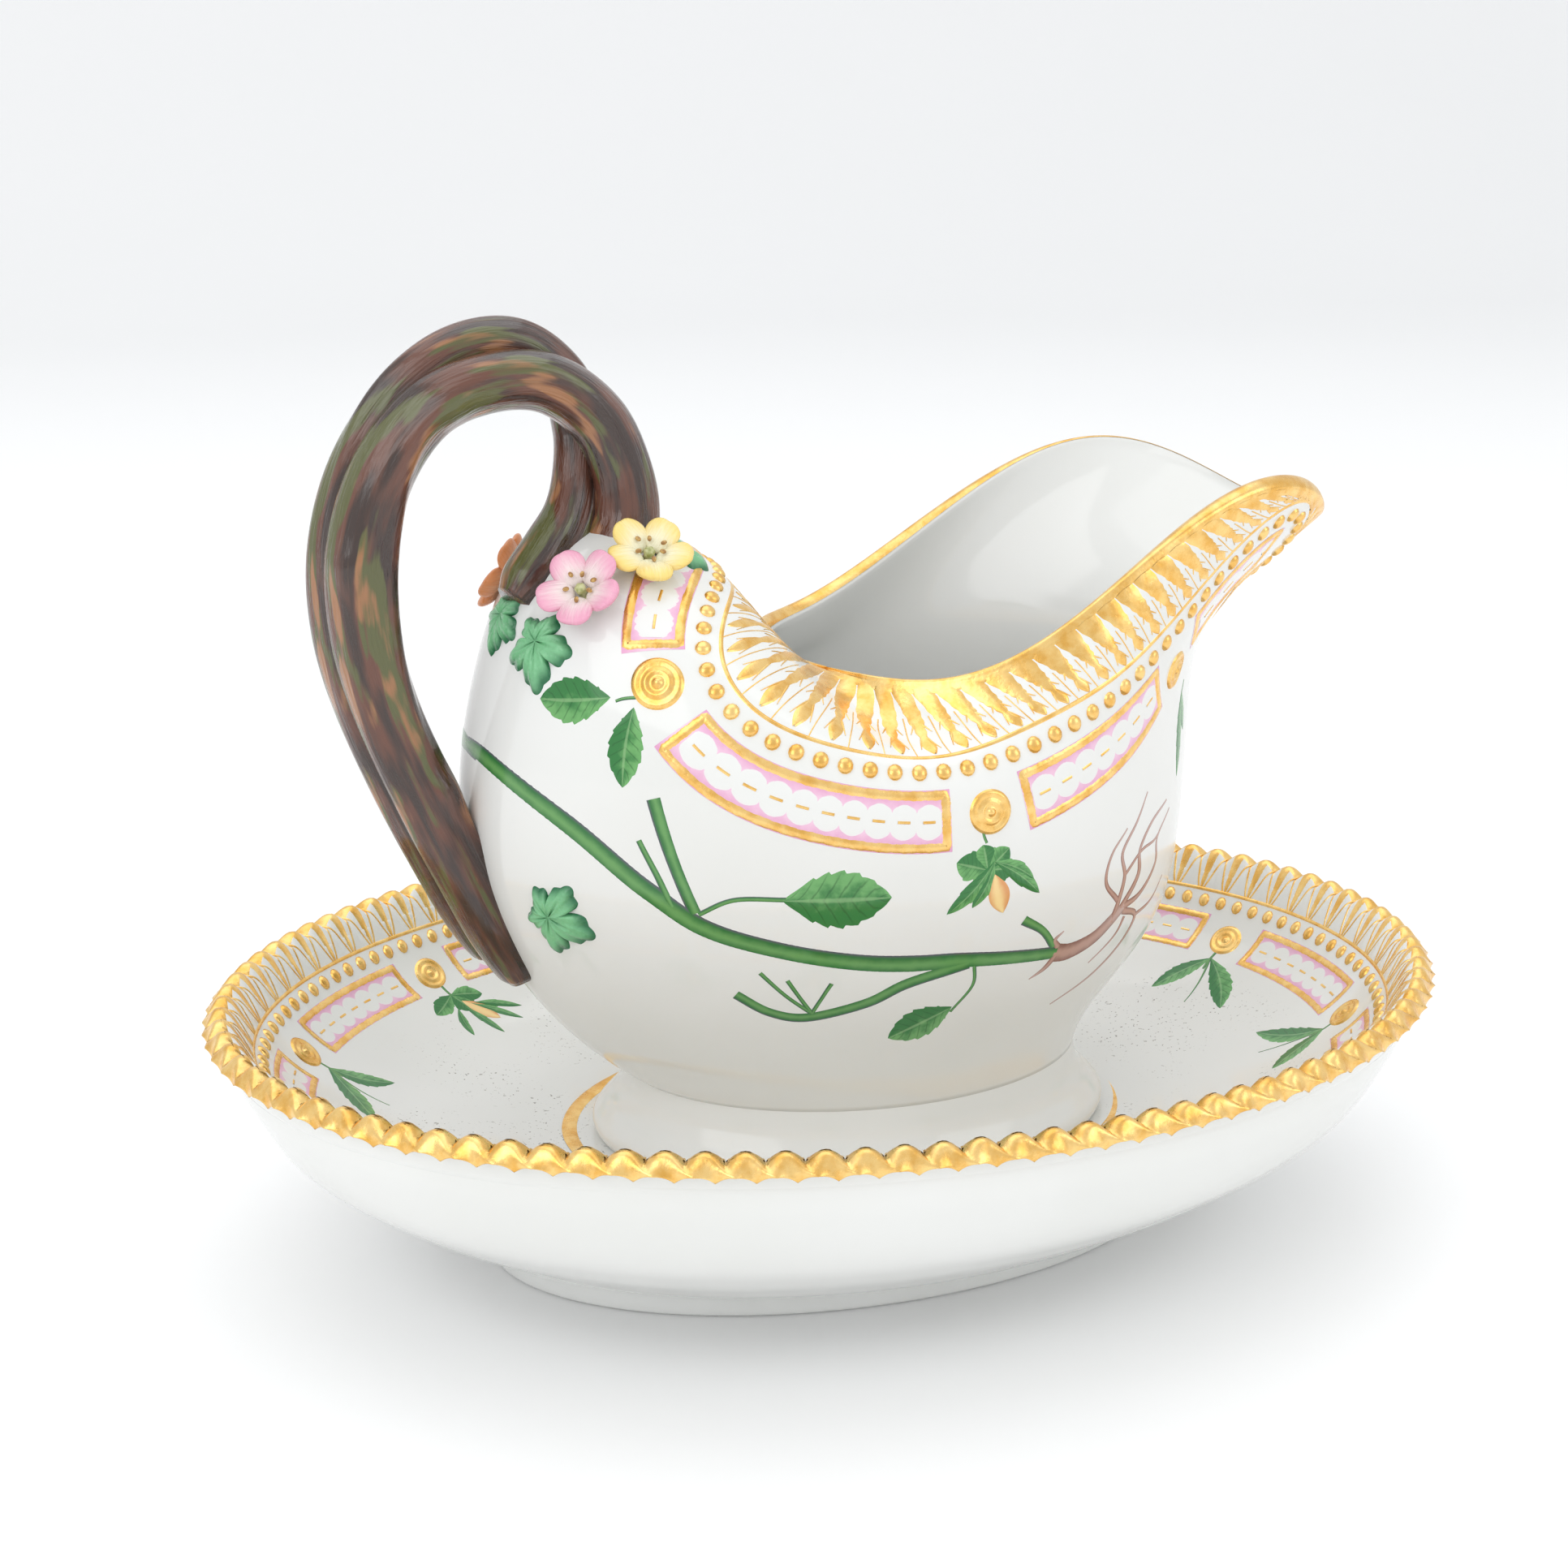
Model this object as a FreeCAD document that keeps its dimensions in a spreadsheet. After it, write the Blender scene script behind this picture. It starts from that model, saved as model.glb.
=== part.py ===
import FreeCAD, Part
import math
import os

# A porcelain sauce boat on its own oval stand. Millimetres, +Z up, the pouring lip towards +X,
# the origin on the table under the middle of the stand. The handle is two grown-together
# branches, luted to the boat under modelled blossoms and leaves.

doc = FreeCAD.newDocument("SauceBoat")
V = FreeCAD.Vector

# ---- driving dimensions ----------------------------------------------------------------------

DIMENSIONS = [
    ("stand_half_length", 122.5, "stand, middle to the end of the rim"),
    ("stand_half_width", 94.0, "stand, middle to the side of the rim"),
    ("stand_rim_height", 55.0, "stand, table to rim"),
    ("stand_rim_wall", 3.0, "stand, thickness of the wall at the rim"),
    ("stand_foot_half_length", 72.0, "stand, foot ring, outside"),
    ("stand_foot_half_width", 44.0, "stand, foot ring, outside"),
    ("stand_foot_wall", 5.0, "stand, thickness of the foot ring"),
    ("stand_recess_height", 14.0, "stand, hollow inside the foot ring"),
    ("stand_floor_height", 22.0, "stand, table to the flat well that the boat stands in"),
    ("well_half_length", 56.0, "stand, flat well"),
    ("well_half_width", 42.5, "stand, flat well"),
    ("seat_gap", 0.1, "room between the well and the boat's foot"),
    ("foot_half_length", 53.5, "boat, foot at its widest"),
    ("foot_half_width", 40.5, "boat, foot at its widest"),
    ("foot_centre_x", 3.0, "boat, middle of the foot"),
    ("neck_half_length", 47.0, "boat, where the bowl meets the foot"),
    ("neck_half_width", 35.5, "boat, where the bowl meets the foot"),
    ("neck_height", 36.5, "table to where the bowl meets the foot"),
    ("foot_wall", 4.0, "boat, thickness of the hollow foot"),
    ("foot_roof", 3.0, "boat, solid clay over the hollow of the foot"),
    ("bowl_wall", 3.2, "boat, wall of the bowl"),
    ("bowl_floor_height", 44.0, "table to the inside floor of the bowl"),
    ("petal_reach", 3.2, "blossom, half the length of a petal"),
    ("petal_half_width", 2.6, "blossom, half the width of a petal"),
    ("petal_half_thickness", 1.2, "blossom, half the thickness of a petal"),
    ("petal_offset", 4.8, "blossom, middle to the middle of a petal"),
    ("heart_radius", 1.8, "blossom, its heart"),
    ("stalk_length", 7.0, "blossom, from its heart down into the clay"),
    ("leaf_half_thickness", 1.3, "leaf, half its thickness"),
]

dims = doc.addObject("Spreadsheet::Sheet", "dims")
for row, (alias, value, meaning) in enumerate(DIMENSIONS, start=1):
    dims.set(f"A{row}", alias)
    dims.set(f"B{row}", str(value))
    dims.set(f"C{row}", meaning)
    dims.setAlias(f"B{row}", alias)
doc.recompute()


def size(alias):
    return float(getattr(dims, alias))


sub_parts = []


def name_sub_part(shape_object, node):
    shape_object.Label = node
    sub_parts.append(shape_object)


# ---- ovals, lofts and cuts for what is turned or jiggered ------------------------------------


def oval(name, half_length, half_width, height, centre_x="0"):
    """A level ellipse. Each size is an expression on the sheet."""
    ellipse = doc.addObject("Part::Ellipse", name)
    ellipse.setExpression("MajorRadius", half_length)
    ellipse.setExpression("MinorRadius", half_width)
    ellipse.setExpression("Placement.Base.x", centre_x)
    ellipse.setExpression("Placement.Base.z", height)
    return ellipse


def loft(name, sections, centre_x="0"):
    """A solid through level ovals, each (half length, half width, height)."""
    body = doc.addObject("Part::Loft", name)
    body.Sections = [oval(f"{name}_{i}", *section, centre_x) for i, section in enumerate(sections)]
    body.Solid = True
    body.Ruled = False
    return body


def cut(name, base, tool):
    result = doc.addObject("Part::Cut", name)
    result.Base = base
    result.Tool = tool
    return result


def stand_dish():
    """The oval stand: a deep dish on a foot ring, its well flat where the boat stands."""
    rim_x, rim_y, rim_z = "dims.stand_half_length", "dims.stand_half_width", "dims.stand_rim_height"
    foot_x, foot_y = "dims.stand_foot_half_length", "dims.stand_foot_half_width"
    outside = loft("stand_outside", [
        (f"{foot_x} + 1", f"{foot_y} + 2", "6.5"),
        (f"{foot_x} + 9", f"{foot_y} + 12", "10"),
        (f"{rim_x} * 0.82", f"{rim_y} * 0.79", f"{rim_z} * 0.4"),
        (f"{rim_x} * 0.91", f"{rim_y} * 0.90", f"{rim_z} * 0.56"),
        (f"{rim_x} * 0.965", f"{rim_y} * 0.965", f"{rim_z} * 0.76"),
        (rim_x, rim_y, rim_z),
    ])
    foot = loft("stand_foot", [
        (foot_x, foot_y, "0"),
        (f"{foot_x} - 1", f"{foot_y} - 1", "4"),
        (f"{foot_x} - 1.5", f"{foot_y} - 1.5", "12"),
    ])
    whole = doc.addObject("Part::Fuse", "stand_whole")
    whole.Base = outside
    whole.Tool = foot
    inside_x, inside_y = f"({rim_x} - dims.stand_rim_wall)", f"({rim_y} - dims.stand_rim_wall)"
    floor_z = "dims.stand_floor_height"
    inside = loft("stand_inside", [
        ("dims.well_half_length", "dims.well_half_width", floor_z),
        ("dims.well_half_length + 12", "dims.well_half_width + 10", f"{floor_z} + 1.6"),
        (f"{inside_x} * 0.76", f"{inside_y} * 0.75", f"{floor_z} + 6.5"),
        (f"{inside_x} * 0.89", f"{inside_y} * 0.89", f"{floor_z} + 15"),
        (f"{inside_x} * 0.96", f"{inside_y} * 0.96", f"{floor_z} + 24"),
        (inside_x, inside_y, rim_z),
        (f"{inside_x} + 0.6", f"{inside_y} + 0.6", f"{rim_z} + 4"),
    ])
    recess = loft("stand_recess", [
        (f"{foot_x} - dims.stand_foot_wall", f"{foot_y} - dims.stand_foot_wall", "-1"),
        (f"{foot_x} - dims.stand_foot_wall", f"{foot_y} - dims.stand_foot_wall", "0"),
        (f"{foot_x} - dims.stand_foot_wall - 1", f"{foot_y} - dims.stand_foot_wall - 1", "6"),
        (f"{foot_x} - dims.stand_foot_wall - 8", f"{foot_y} - dims.stand_foot_wall - 7",
         "dims.stand_recess_height"),
    ])
    name_sub_part(cut("stand_body", cut("stand_shell", whole, inside), recess), "stand_dish")


def boat_foot():
    """The boat's hollow spreading foot, luted under the bowl."""
    seat_z = "dims.stand_floor_height + dims.seat_gap"
    wide_x, wide_y = "dims.foot_half_length", "dims.foot_half_width"
    neck_x, neck_y, neck_z = "dims.neck_half_length", "dims.neck_half_width", "dims.neck_height"
    outside = loft("foot_outside", [
        (f"{wide_x} - 1.2", f"{wide_y} - 1.2", seat_z),
        (wide_x, wide_y, f"{seat_z} + 2.2"),
        (f"{wide_x} - 2.2", f"{wide_y} - 1.9", f"{seat_z} + 5.4"),
        (f"{neck_x} + 0.6", f"{neck_y} + 0.5", f"{neck_z} - 4"),
        (neck_x, neck_y, neck_z),
    ], "dims.foot_centre_x")
    hollow = loft("foot_hollow", [
        (f"{wide_x} - dims.foot_wall", f"{wide_y} - dims.foot_wall", f"{seat_z} - 1"),
        (f"{wide_x} - dims.foot_wall - 1", f"{wide_y} - dims.foot_wall - 1", f"{seat_z} + 3"),
        (f"{neck_x} - dims.foot_wall - 1", f"{neck_y} - dims.foot_wall - 1",
         f"{neck_z} - dims.foot_roof"),
    ], "dims.foot_centre_x")
    name_sub_part(cut("foot_body", outside, hollow), "boat_foot")


# ---- skins over control rings for what is moulded or modelled --------------------------------

AROUND = 48
ROUND_BRANCH = 12


def sharpened(ring):
    """Control points whose cubic passes through the ring: each stands off by a sixth of the bend."""
    count = len(ring)
    return [p - (ring[i - 1] - p * 2 + ring[(i + 1) % count]) / 6 for i, p in enumerate(ring)]


def skin(rings):
    """One cubic B-spline face over closed control rings, clamped at the first and the last ring."""
    around, spans = len(rings[0]), len(rings) - 3
    poles = [[ring[i] for ring in rings] for i in range(around)]
    surface = Part.BSplineSurface()
    surface.buildFromPolesMultsKnots(
        poles, [1] * (around + 1), [4] + [1] * (spans - 1) + [4],
        list(range(around + 1)), list(range(spans + 1)), True, False, 3, 3)
    return surface


def flat_cap(surface, end):
    first, last = surface.bounds()[2:]
    return Part.Face(Part.Wire([surface.vIso(last if end else first).toShape()]))


def closed_solid(faces):
    sewn = Part.Compound(faces)
    sewn.sewShape()
    solid = Part.Solid(sewn.Shells[0])
    if solid.Volume < 0:
        solid.reverse()
    return solid


def feature(node, shape):
    made = doc.addObject("Part::Feature", node + "_shape")
    made.Shape = shape
    made.Placement = FreeCAD.Placement()
    return made


# The bowl's control rings, from the rim down to the foot. Each ring is
# (back x, back z, side x, side z, half width, front x, front z, sheer, swell, pinch):
# sheer lifts the front quarters and drops the back ones, swell lifts both, and pinch narrows
# the ring towards the lip.
BOWL_RINGS = [
    (-13.0, 118.5, 27.5, 129.5, 45.5, 98.0, 139.0, 25.0, 22.0, -0.45),
    (-17.5, 124.0, 23.5, 121.0, 48.0, 91.0, 133.0, 30.0, 7.0, -0.1),
    (-26.0, 139.0, 18.0, 112.0, 50.5, 83.0, 127.0, 27.0, -1.0, 0.3),
    (-43.5, 147.5, 10.0, 106.0, 53.0, 75.0, 118.0, 17.0, -1.5, 0.4),
    (-63.0, 141.5, 4.0, 99.0, 54.5, 72.5, 106.0, 6.0, 0.0, 0.2),
    (-71.0, 120.0, 1.0, 89.0, 55.0, 70.0, 93.0, 1.0, 0.0, 0.0),
    (-76.0, 96.0, 0.0, 76.0, 53.0, 69.5, 77.0, 0.0, 0.0, 0.0),
    (-74.0, 69.0, 0.0, 60.0, 47.5, 66.0, 60.0, 0.0, 0.0, 0.0),
    (-57.0, 45.0, 0.0, 45.0, 39.0, 51.0, 45.0, 0.0, 0.0, 0.0),
]
INSIDE_FLOOR = [(42.0, 29.0), (20.0, 14.0)]
LIP_ROUND = 1.6
BLOCK_TOP = 70.0


def bowl_ring(ring):
    """Points of a ring: quadratics in the cosine of the turn join back, side and front."""
    back_x, back_z, side_x, side_z, half_width, front_x, front_z, sheer, swell, pinch = ring
    points = []
    for i in range(AROUND):
        turn = 2 * math.pi * i / AROUND
        k = math.cos(turn)
        x = side_x + (front_x - back_x) / 2 * k + ((front_x + back_x) / 2 - side_x) * k ** 2
        z = side_z + (front_z - back_z) / 2 * k + ((front_z + back_z) / 2 - side_z) * k ** 2
        z += sheer * (k - k ** 3) + swell * (k ** 2 - k ** 4)
        y = half_width * math.sin(turn) * (1 - pinch * max(k, 0) ** 3)
        points.append(V(x, y, z))
    return points


def level_ring(half_length, half_width, height, centre_x):
    turns = [2 * math.pi * i / AROUND for i in range(AROUND)]
    return [V(centre_x + half_length * math.cos(t), half_width * math.sin(t), height) for t in turns]


def inset(rings, wall):
    """The rings moved into the clay by the wall, along the normals of their own cage."""
    moved = []
    last = len(rings) - 1
    for j, ring in enumerate(rings):
        above, below = rings[max(j - 1, 0)], rings[min(j + 1, last)]
        for_ring = []
        for i, point in enumerate(ring):
            along = below[i] - above[i]
            across = ring[(i + 1) % AROUND] - ring[i - 1]
            for_ring.append(point - along.cross(across).normalize() * wall)
        moved.append(for_ring)
    return moved


def boat_bowl():
    """The moulded bowl: an outer and an inner skin, joined over a rounded rim."""
    rings = [bowl_ring(ring) for ring in BOWL_RINGS]
    neck = level_ring(size("neck_half_length"), size("neck_half_width"), size("neck_height"),
                      size("foot_centre_x"))
    outer = rings + [neck]
    inner = inset(outer, size("bowl_wall"))[:len(rings) - 1]
    inner += [level_ring(a, b, size("bowl_floor_height"), 0) for a, b in INSIDE_FLOOR]
    raised = [[point + V(0, 0, LIP_ROUND) for point in ring] for ring in (outer[0], inner[0])]
    outside = skin([sharpened(ring) for ring in outer])
    inside = skin([sharpened(ring) for ring in inner])
    rim = skin([sharpened(ring) for ring in (outer[0], *raised, inner[0])])
    faces = [outside.toShape(), rim.toShape(), inside.toShape()]
    faces += [flat_cap(outside, True), flat_cap(inside, True)]
    name_sub_part(feature("boat_bowl", closed_solid(faces)), "boat_bowl")
    return bowl_block(outer[0], outside)


def bowl_block(rim, outside):
    """The bowl's outer shape as a full block, which trims whatever is luted on to it."""
    middle = V(size("foot_centre_x"), 0, size("neck_height") + BLOCK_TOP)
    closing = [[middle + (point - middle) * share for point in rim] for share in (1.0, 0.7, 0.4)]
    closing.append(level_ring(1.0, 1.0, middle.z, middle.x))
    plug = skin([sharpened(ring) for ring in closing])
    block = doc.addObject("Part::Feature", "bowl_block")
    block.Shape = closed_solid([outside.toShape(), plug.toShape(), flat_cap(outside, True),
                                flat_cap(plug, True)])
    return block


# ---- the handle ------------------------------------------------------------------------------

# Routes from the lower root, up the back, over the top and down to the shoulder.
# Each point is (x, y, z, radius).
MAIN_BRANCH = [
    (-66.5, -7.5, 60.5, 1.2), (-67.5, -7.5, 63.0, 3.4), (-71.5, -7.2, 71.0, 5.0),
    (-76.5, -6.0, 83.0, 5.8), (-82.5, -4.6, 97.0, 6.0), (-88.5, -4.0, 112.0, 6.0),
    (-92.0, -3.8, 127.0, 6.2), (-92.2, -3.6, 142.0, 6.4), (-88.0, -3.6, 156.0, 6.4),
    (-79.5, -4.2, 167.0, 6.1), (-68.5, -4.6, 171.5, 5.8), (-57.5, -4.0, 171.0, 5.6),
    (-48.5, -3.0, 164.5, 5.5), (-44.0, -2.4, 155.0, 5.7), (-43.2, -2.4, 146.0, 6.4),
    (-46.0, -3.0, 138.5, 6.8), (-47.0, -3.0, 136.0, 3.5),
]
SECOND_BRANCH = [
    (-70.5, 3.0, 61.5, 1.0), (-71.5, 3.0, 64.0, 3.0), (-75.5, 2.6, 72.0, 4.2),
    (-81.0, 2.6, 84.5, 4.7), (-87.0, 3.0, 98.5, 4.9), (-92.2, 3.6, 112.5, 5.0),
    (-95.4, 4.0, 127.0, 5.1), (-95.6, 3.8, 142.0, 5.1), (-91.8, 2.6, 156.5, 5.1),
    (-84.0, 1.4, 168.5, 5.0), (-73.5, 1.2, 176.0, 4.9), (-62.0, 2.4, 177.0, 4.8),
    (-53.0, 4.2, 170.5, 4.6), (-50.4, 4.2, 162.0, 4.6), (-51.0, 2.0, 154.0, 4.8),
    (-53.5, -1.0, 147.0, 5.0), (-58.0, -4.0, 141.0, 5.2), (-63.0, -6.4, 135.6, 4.8),
    (-65.6, -7.6, 132.8, 2.6),
]


def branch(node, route, trimmed_by):
    """A round stem: rings square to its route, which runs close to the upright middle plane."""
    rings = []
    last = len(route) - 1
    for j, (x, y, z, radius) in enumerate(route):
        before, after = route[max(j - 1, 0)], route[min(j + 1, last)]
        along = (V(*after[:3]) - V(*before[:3])).normalize()
        outward = along.cross(V(0, 1, 0)).normalize()
        sideways = along.cross(outward)
        ring = []
        for i in range(ROUND_BRANCH):
            turn = 2 * math.pi * i / ROUND_BRANCH
            ring.append(V(x, y, z) + (outward * math.cos(turn) + sideways * math.sin(turn)) * radius)
        rings.append(sharpened(ring))
    stem = skin(rings)
    faces = [stem.toShape(), flat_cap(stem, False), flat_cap(stem, True)]
    trimmed = feature(node, closed_solid(faces))
    for i, tool in enumerate(trimmed_by):
        trimmed = cut(f"{node}_trim_{i}", trimmed, tool)
    name_sub_part(trimmed, node)
    return trimmed


# ---- blossoms and leaves ---------------------------------------------------------------------

PETALS = 5


def standing_on(place, facing, turn=0.0):
    """A placement at a point, its Z along the outward direction, turned about it by degrees."""
    upright = FreeCAD.Rotation(V(0, 0, 1), V(*facing))
    return FreeCAD.Placement(V(*place), upright.multiply(FreeCAD.Rotation(V(0, 0, 1), turn)))


def ellipsoid(name, along, across, thick, placement):
    """An ellipsoid with its half sizes bound to the sheet: along its X, across its Y, thick its Z."""
    lump = doc.addObject("Part::Ellipsoid", name)
    lump.setExpression("Radius1", thick)
    lump.setExpression("Radius2", along)
    lump.setExpression("Radius3", across)
    lump.Placement = placement
    return lump


def blossom(name, place, facing, turn, block):
    """Five cupped petals round a small heart, whose stalk ends on the boat."""
    stand = standing_on(place, facing, turn)
    ball = doc.addObject("Part::Sphere", name + "_heart_ball")
    ball.setExpression("Radius", "dims.heart_radius")
    ball.Placement = stand
    stalk = doc.addObject("Part::Cylinder", name + "_stalk")
    stalk.setExpression("Radius", "dims.heart_radius * 0.96")
    stalk.setExpression("Height", "dims.stalk_length")
    stalk.Placement = stand.multiply(FreeCAD.Placement(V(0, 0, -size("stalk_length")),
                                                       FreeCAD.Rotation()))
    heart = doc.addObject("Part::Fuse", name + "_heart_and_stalk")
    heart.Base = ball
    heart.Tool = stalk
    name_sub_part(cut(name + "_heart_trim", heart, block), name + "_heart")
    petals = []
    for i in range(PETALS):
        out = FreeCAD.Rotation(V(0, 0, 1), 360 / PETALS * i)
        reach = FreeCAD.Placement(out.multVec(V(size("petal_offset"), 0, 0.6)),
                                  out.multiply(FreeCAD.Rotation(V(0, 1, 0), -18)))
        petals.append(ellipsoid(f"{name}_petal_{i}", "dims.petal_reach", "dims.petal_half_width",
                                "dims.petal_half_thickness", stand.multiply(reach)))
    group = doc.addObject("Part::Compound", name + "_petal_group")
    group.Links = petals
    seated = cut(name + "_petal_trim", cut(name + "_petal_seat", group, heart), block)
    name_sub_part(seated, name + "_petals")


def leaf(name, place, facing, turn, length, lobes, trimmed_by):
    """A modelled leaf: a midrib lump with side lobes, all fused. Length is its half length."""
    stand = standing_on(place, facing, turn)
    lumps = [ellipsoid(f"{name}_rib", f"{length}", f"{length} * 0.36", "dims.leaf_half_thickness", stand)]
    for i, (along, angle) in enumerate(lobes):
        out = FreeCAD.Rotation(V(0, 0, 1), angle)
        reach = V(length * along, 0, 0) + out.multVec(V(length * 0.38, 0, 0))
        lumps.append(ellipsoid(f"{name}_lobe_{i}", f"{length} * 0.46", f"{length} * 0.22",
                               "dims.leaf_half_thickness", stand.multiply(FreeCAD.Placement(reach, out))))
    whole = doc.addObject("Part::MultiFuse", name + "_lumps")
    whole.Shapes = lumps
    for i, tool in enumerate(trimmed_by):
        whole = cut(f"{name}_trim_{i}", whole, tool)
    name_sub_part(whole, name)


# ---- the assembly ----------------------------------------------------------------------------

BLOSSOMS = [
    ("pink_blossom", (-56.6, -21.6, 136.4), (-0.47, -0.60, 0.64), 20),
    ("yellow_blossom", (-43.4, -18.6, 141.6), (-0.02, -0.60, 0.80), 50),
    ("orange_blossom", (-64.6, 12.0, 135.6), (-0.80, 0.36, 0.48), 10),
]
SIDE_LOBES = [(-0.25, 60), (-0.25, -60), (0.25, 50), (0.25, -50)]
LEAVES = [
    ("shoulder_leaf_near", (-64.0, -17.3, 127.0), (-0.80, -0.50, 0.34), 250, 8.5),
    ("shoulder_leaf_back", (-67.4, -4.8, 129.8), (-0.90, -0.16, 0.40), 235, 7.0),
    ("shoulder_leaf_front", (-37.0, -13.0, 141.6), (0.28, -0.40, 0.87), 330, 6.5),
    ("root_leaf_near", (-65.0, -24.8, 78.0), (-0.76, -0.61, -0.20), 300, 7.5),
    ("root_leaf_far", (-65.0, 24.8, 78.0), (-0.76, 0.61, -0.20), 60, 7.5),
]

stand_dish()
boat_foot()
block = boat_bowl()
main_branch = branch("handle_main_branch", MAIN_BRANCH, [block])
second_branch = branch("handle_second_branch", SECOND_BRANCH, [block, main_branch])
for name, place, facing, turn in BLOSSOMS:
    blossom(name, place, facing, turn, block)
for name, place, facing, turn, length in LEAVES:
    leaf(name, place, facing, turn, length, SIDE_LOBES, [block, main_branch, second_branch])

doc.recompute()
for made in doc.Objects:
    if "Invalid" in made.State or "Error" in made.State:
        raise RuntimeError(f"{made.Label} did not build")
os.makedirs("parts", exist_ok=True)
for made in sub_parts:
    if made.Shape.isNull() or not made.Shape.isValid():
        raise RuntimeError(f"{made.Label} has no valid shape")
    made.Shape.exportStep(f"parts/{made.Label}.step")
    box = made.Shape.optimalBoundingBox()
    print(f"{made.Label:22s} solids {len(made.Shape.Solids)} volume {made.Shape.Volume:9.0f} "
          f"x {box.XMin:7.1f} {box.XMax:7.1f} y {box.YMin:6.1f} {box.YMax:6.1f} "
          f"z {box.ZMin:6.1f} {box.ZMax:6.1f}")
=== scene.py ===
"""The looks of a porcelain gravy boat on its lobed stand, laid over the frame of its CAD part.

Every piece is a surface worked out from a formula. Sizes in the formulas are in millimetres and
are turned into metres when a mesh is made. The long axis is X, the pouring lip points along +X.
"""

import bpy
import numpy as np
from bpy.props import FloatProperty, FloatVectorProperty, IntProperty, PointerProperty
from mathutils import Matrix, Vector


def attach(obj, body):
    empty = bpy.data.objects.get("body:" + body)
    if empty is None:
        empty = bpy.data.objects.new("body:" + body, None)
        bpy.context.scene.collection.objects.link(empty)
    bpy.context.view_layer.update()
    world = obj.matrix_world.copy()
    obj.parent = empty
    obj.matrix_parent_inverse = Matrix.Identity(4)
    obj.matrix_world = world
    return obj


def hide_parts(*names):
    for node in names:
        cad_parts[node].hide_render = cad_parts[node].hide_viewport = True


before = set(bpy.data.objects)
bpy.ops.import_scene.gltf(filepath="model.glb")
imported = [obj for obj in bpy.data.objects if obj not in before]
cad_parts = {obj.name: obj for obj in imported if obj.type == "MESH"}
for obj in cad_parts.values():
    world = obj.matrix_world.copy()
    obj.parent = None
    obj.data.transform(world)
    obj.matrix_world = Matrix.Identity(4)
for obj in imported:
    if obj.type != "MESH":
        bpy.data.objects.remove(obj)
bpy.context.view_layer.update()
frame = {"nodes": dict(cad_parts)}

bl_info = {
    "name": "Porcelain Gravy Boat",
    "version": (1, 0, 0),
    "blender": (4, 5, 0),
    "location": "View3D > Sidebar > Gravy Boat",
    "description": "Builds a painted and gilded gravy boat on its stand",
    "category": "Add Mesh",
}

TURN = 2 * np.pi
METRES = 0.001
# how far paint stands proud of the glaze, and how far its edges are sunk in it
PAINT_RISE = 0.05
SUNK = 0.04


# ---- settings ------------------------------------------------------------------------------------

def length(name, description, millimetres):
    """A length setting, stored in metres."""
    return FloatProperty(name=name, description=description, default=millimetres * METRES,
                         min=0.0, unit="LENGTH", precision=5)


def colour(name, description, red, green, blue):
    """A colour setting."""
    return FloatVectorProperty(name=name, description=description, default=(red, green, blue),
                               min=0.0, max=1.0, size=3, subtype="COLOR")


class GravyBoatSizes(bpy.types.PropertyGroup):
    """Sizes of the ornament."""

    wall: length("Wall", "Thickness of the boat's wall", 3.2)
    gilt_rim: length("Gilt rim", "Depth of solid gold at the boat's rim", 1.9)
    line: length("Gold line", "Width of the thin gold lines", 0.95)
    frame: length("Panel frame", "Width of the gold frame round a pink panel", 1.9)
    boat_bead: length("Boat bead", "Radius of a gold bead on the boat", 1.55)
    stand_bead: length("Stand bead", "Radius of a gold bead on the stand", 1.6)
    boat_rosette: length("Boat rosette", "Radius of a gold rosette on the boat", 4.8)
    stand_rosette: length("Stand rosette", "Radius of a gold rosette on the stand", 3.9)
    boat_beads: IntProperty(name="Boat beads", description="Beads round the boat", default=100, min=3)
    stand_beads: IntProperty(name="Stand beads", description="Beads round the stand", default=144, min=3)
    boat_leaves: IntProperty(name="Boat leaves", description="Gold leaves under the boat's rim",
                             default=80, min=3)
    lobes: IntProperty(name="Lobes", description="Lobes round the stand's rim", default=104, min=3)
    ring: length("Floor ring", "Width of the gold ring round the boat's foot", 3.0)


class GravyBoatColours(bpy.types.PropertyGroup):
    """Colours of clay, glaze, enamel and gold."""

    porcelain: colour("Porcelain", "The white body", 0.80, 0.805, 0.785)
    gold: colour("Gold", "Burnished gold", 0.80, 0.44, 0.10)
    pale_gold: colour("Pale gold", "Gold where it is laid thin", 0.95, 0.65, 0.25)
    pink: colour("Pink", "The ground of the panels", 0.74, 0.36, 0.56)
    petal_pink: colour("Petal pink", "The pink blossom", 0.80, 0.36, 0.50)
    petal_yellow: colour("Petal yellow", "The yellow blossom", 0.90, 0.68, 0.20)
    petal_orange: colour("Petal orange", "The orange blossom", 0.86, 0.32, 0.12)
    green: colour("Green", "Painted and modelled leaves", 0.030, 0.19, 0.045)
    root: colour("Root", "The painted roots", 0.23, 0.10, 0.075)
    bark: colour("Bark", "The darkest glaze of the handle", 0.036, 0.018, 0.013)
    moss: colour("Moss", "The olive glaze of the handle", 0.095, 0.100, 0.028)
    rust: colour("Rust", "The tan glaze of the handle", 0.34, 0.15, 0.06)
    floor: colour("Floor", "The studio floor", 0.97, 0.97, 0.97)


def sizes():
    """The scene's size settings."""
    return bpy.context.scene.gravy_boat_sizes


def colours():
    """The scene's colour settings."""
    return bpy.context.scene.gravy_boat_colours


def mm(value):
    """A length setting in millimetres."""
    return value / METRES


# ---- curves and skins ----------------------------------------------------------------------------

def unit(vectors):
    """Vectors of length one."""
    return vectors / (np.linalg.norm(vectors, axis=-1, keepdims=True) + 1e-12)


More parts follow.
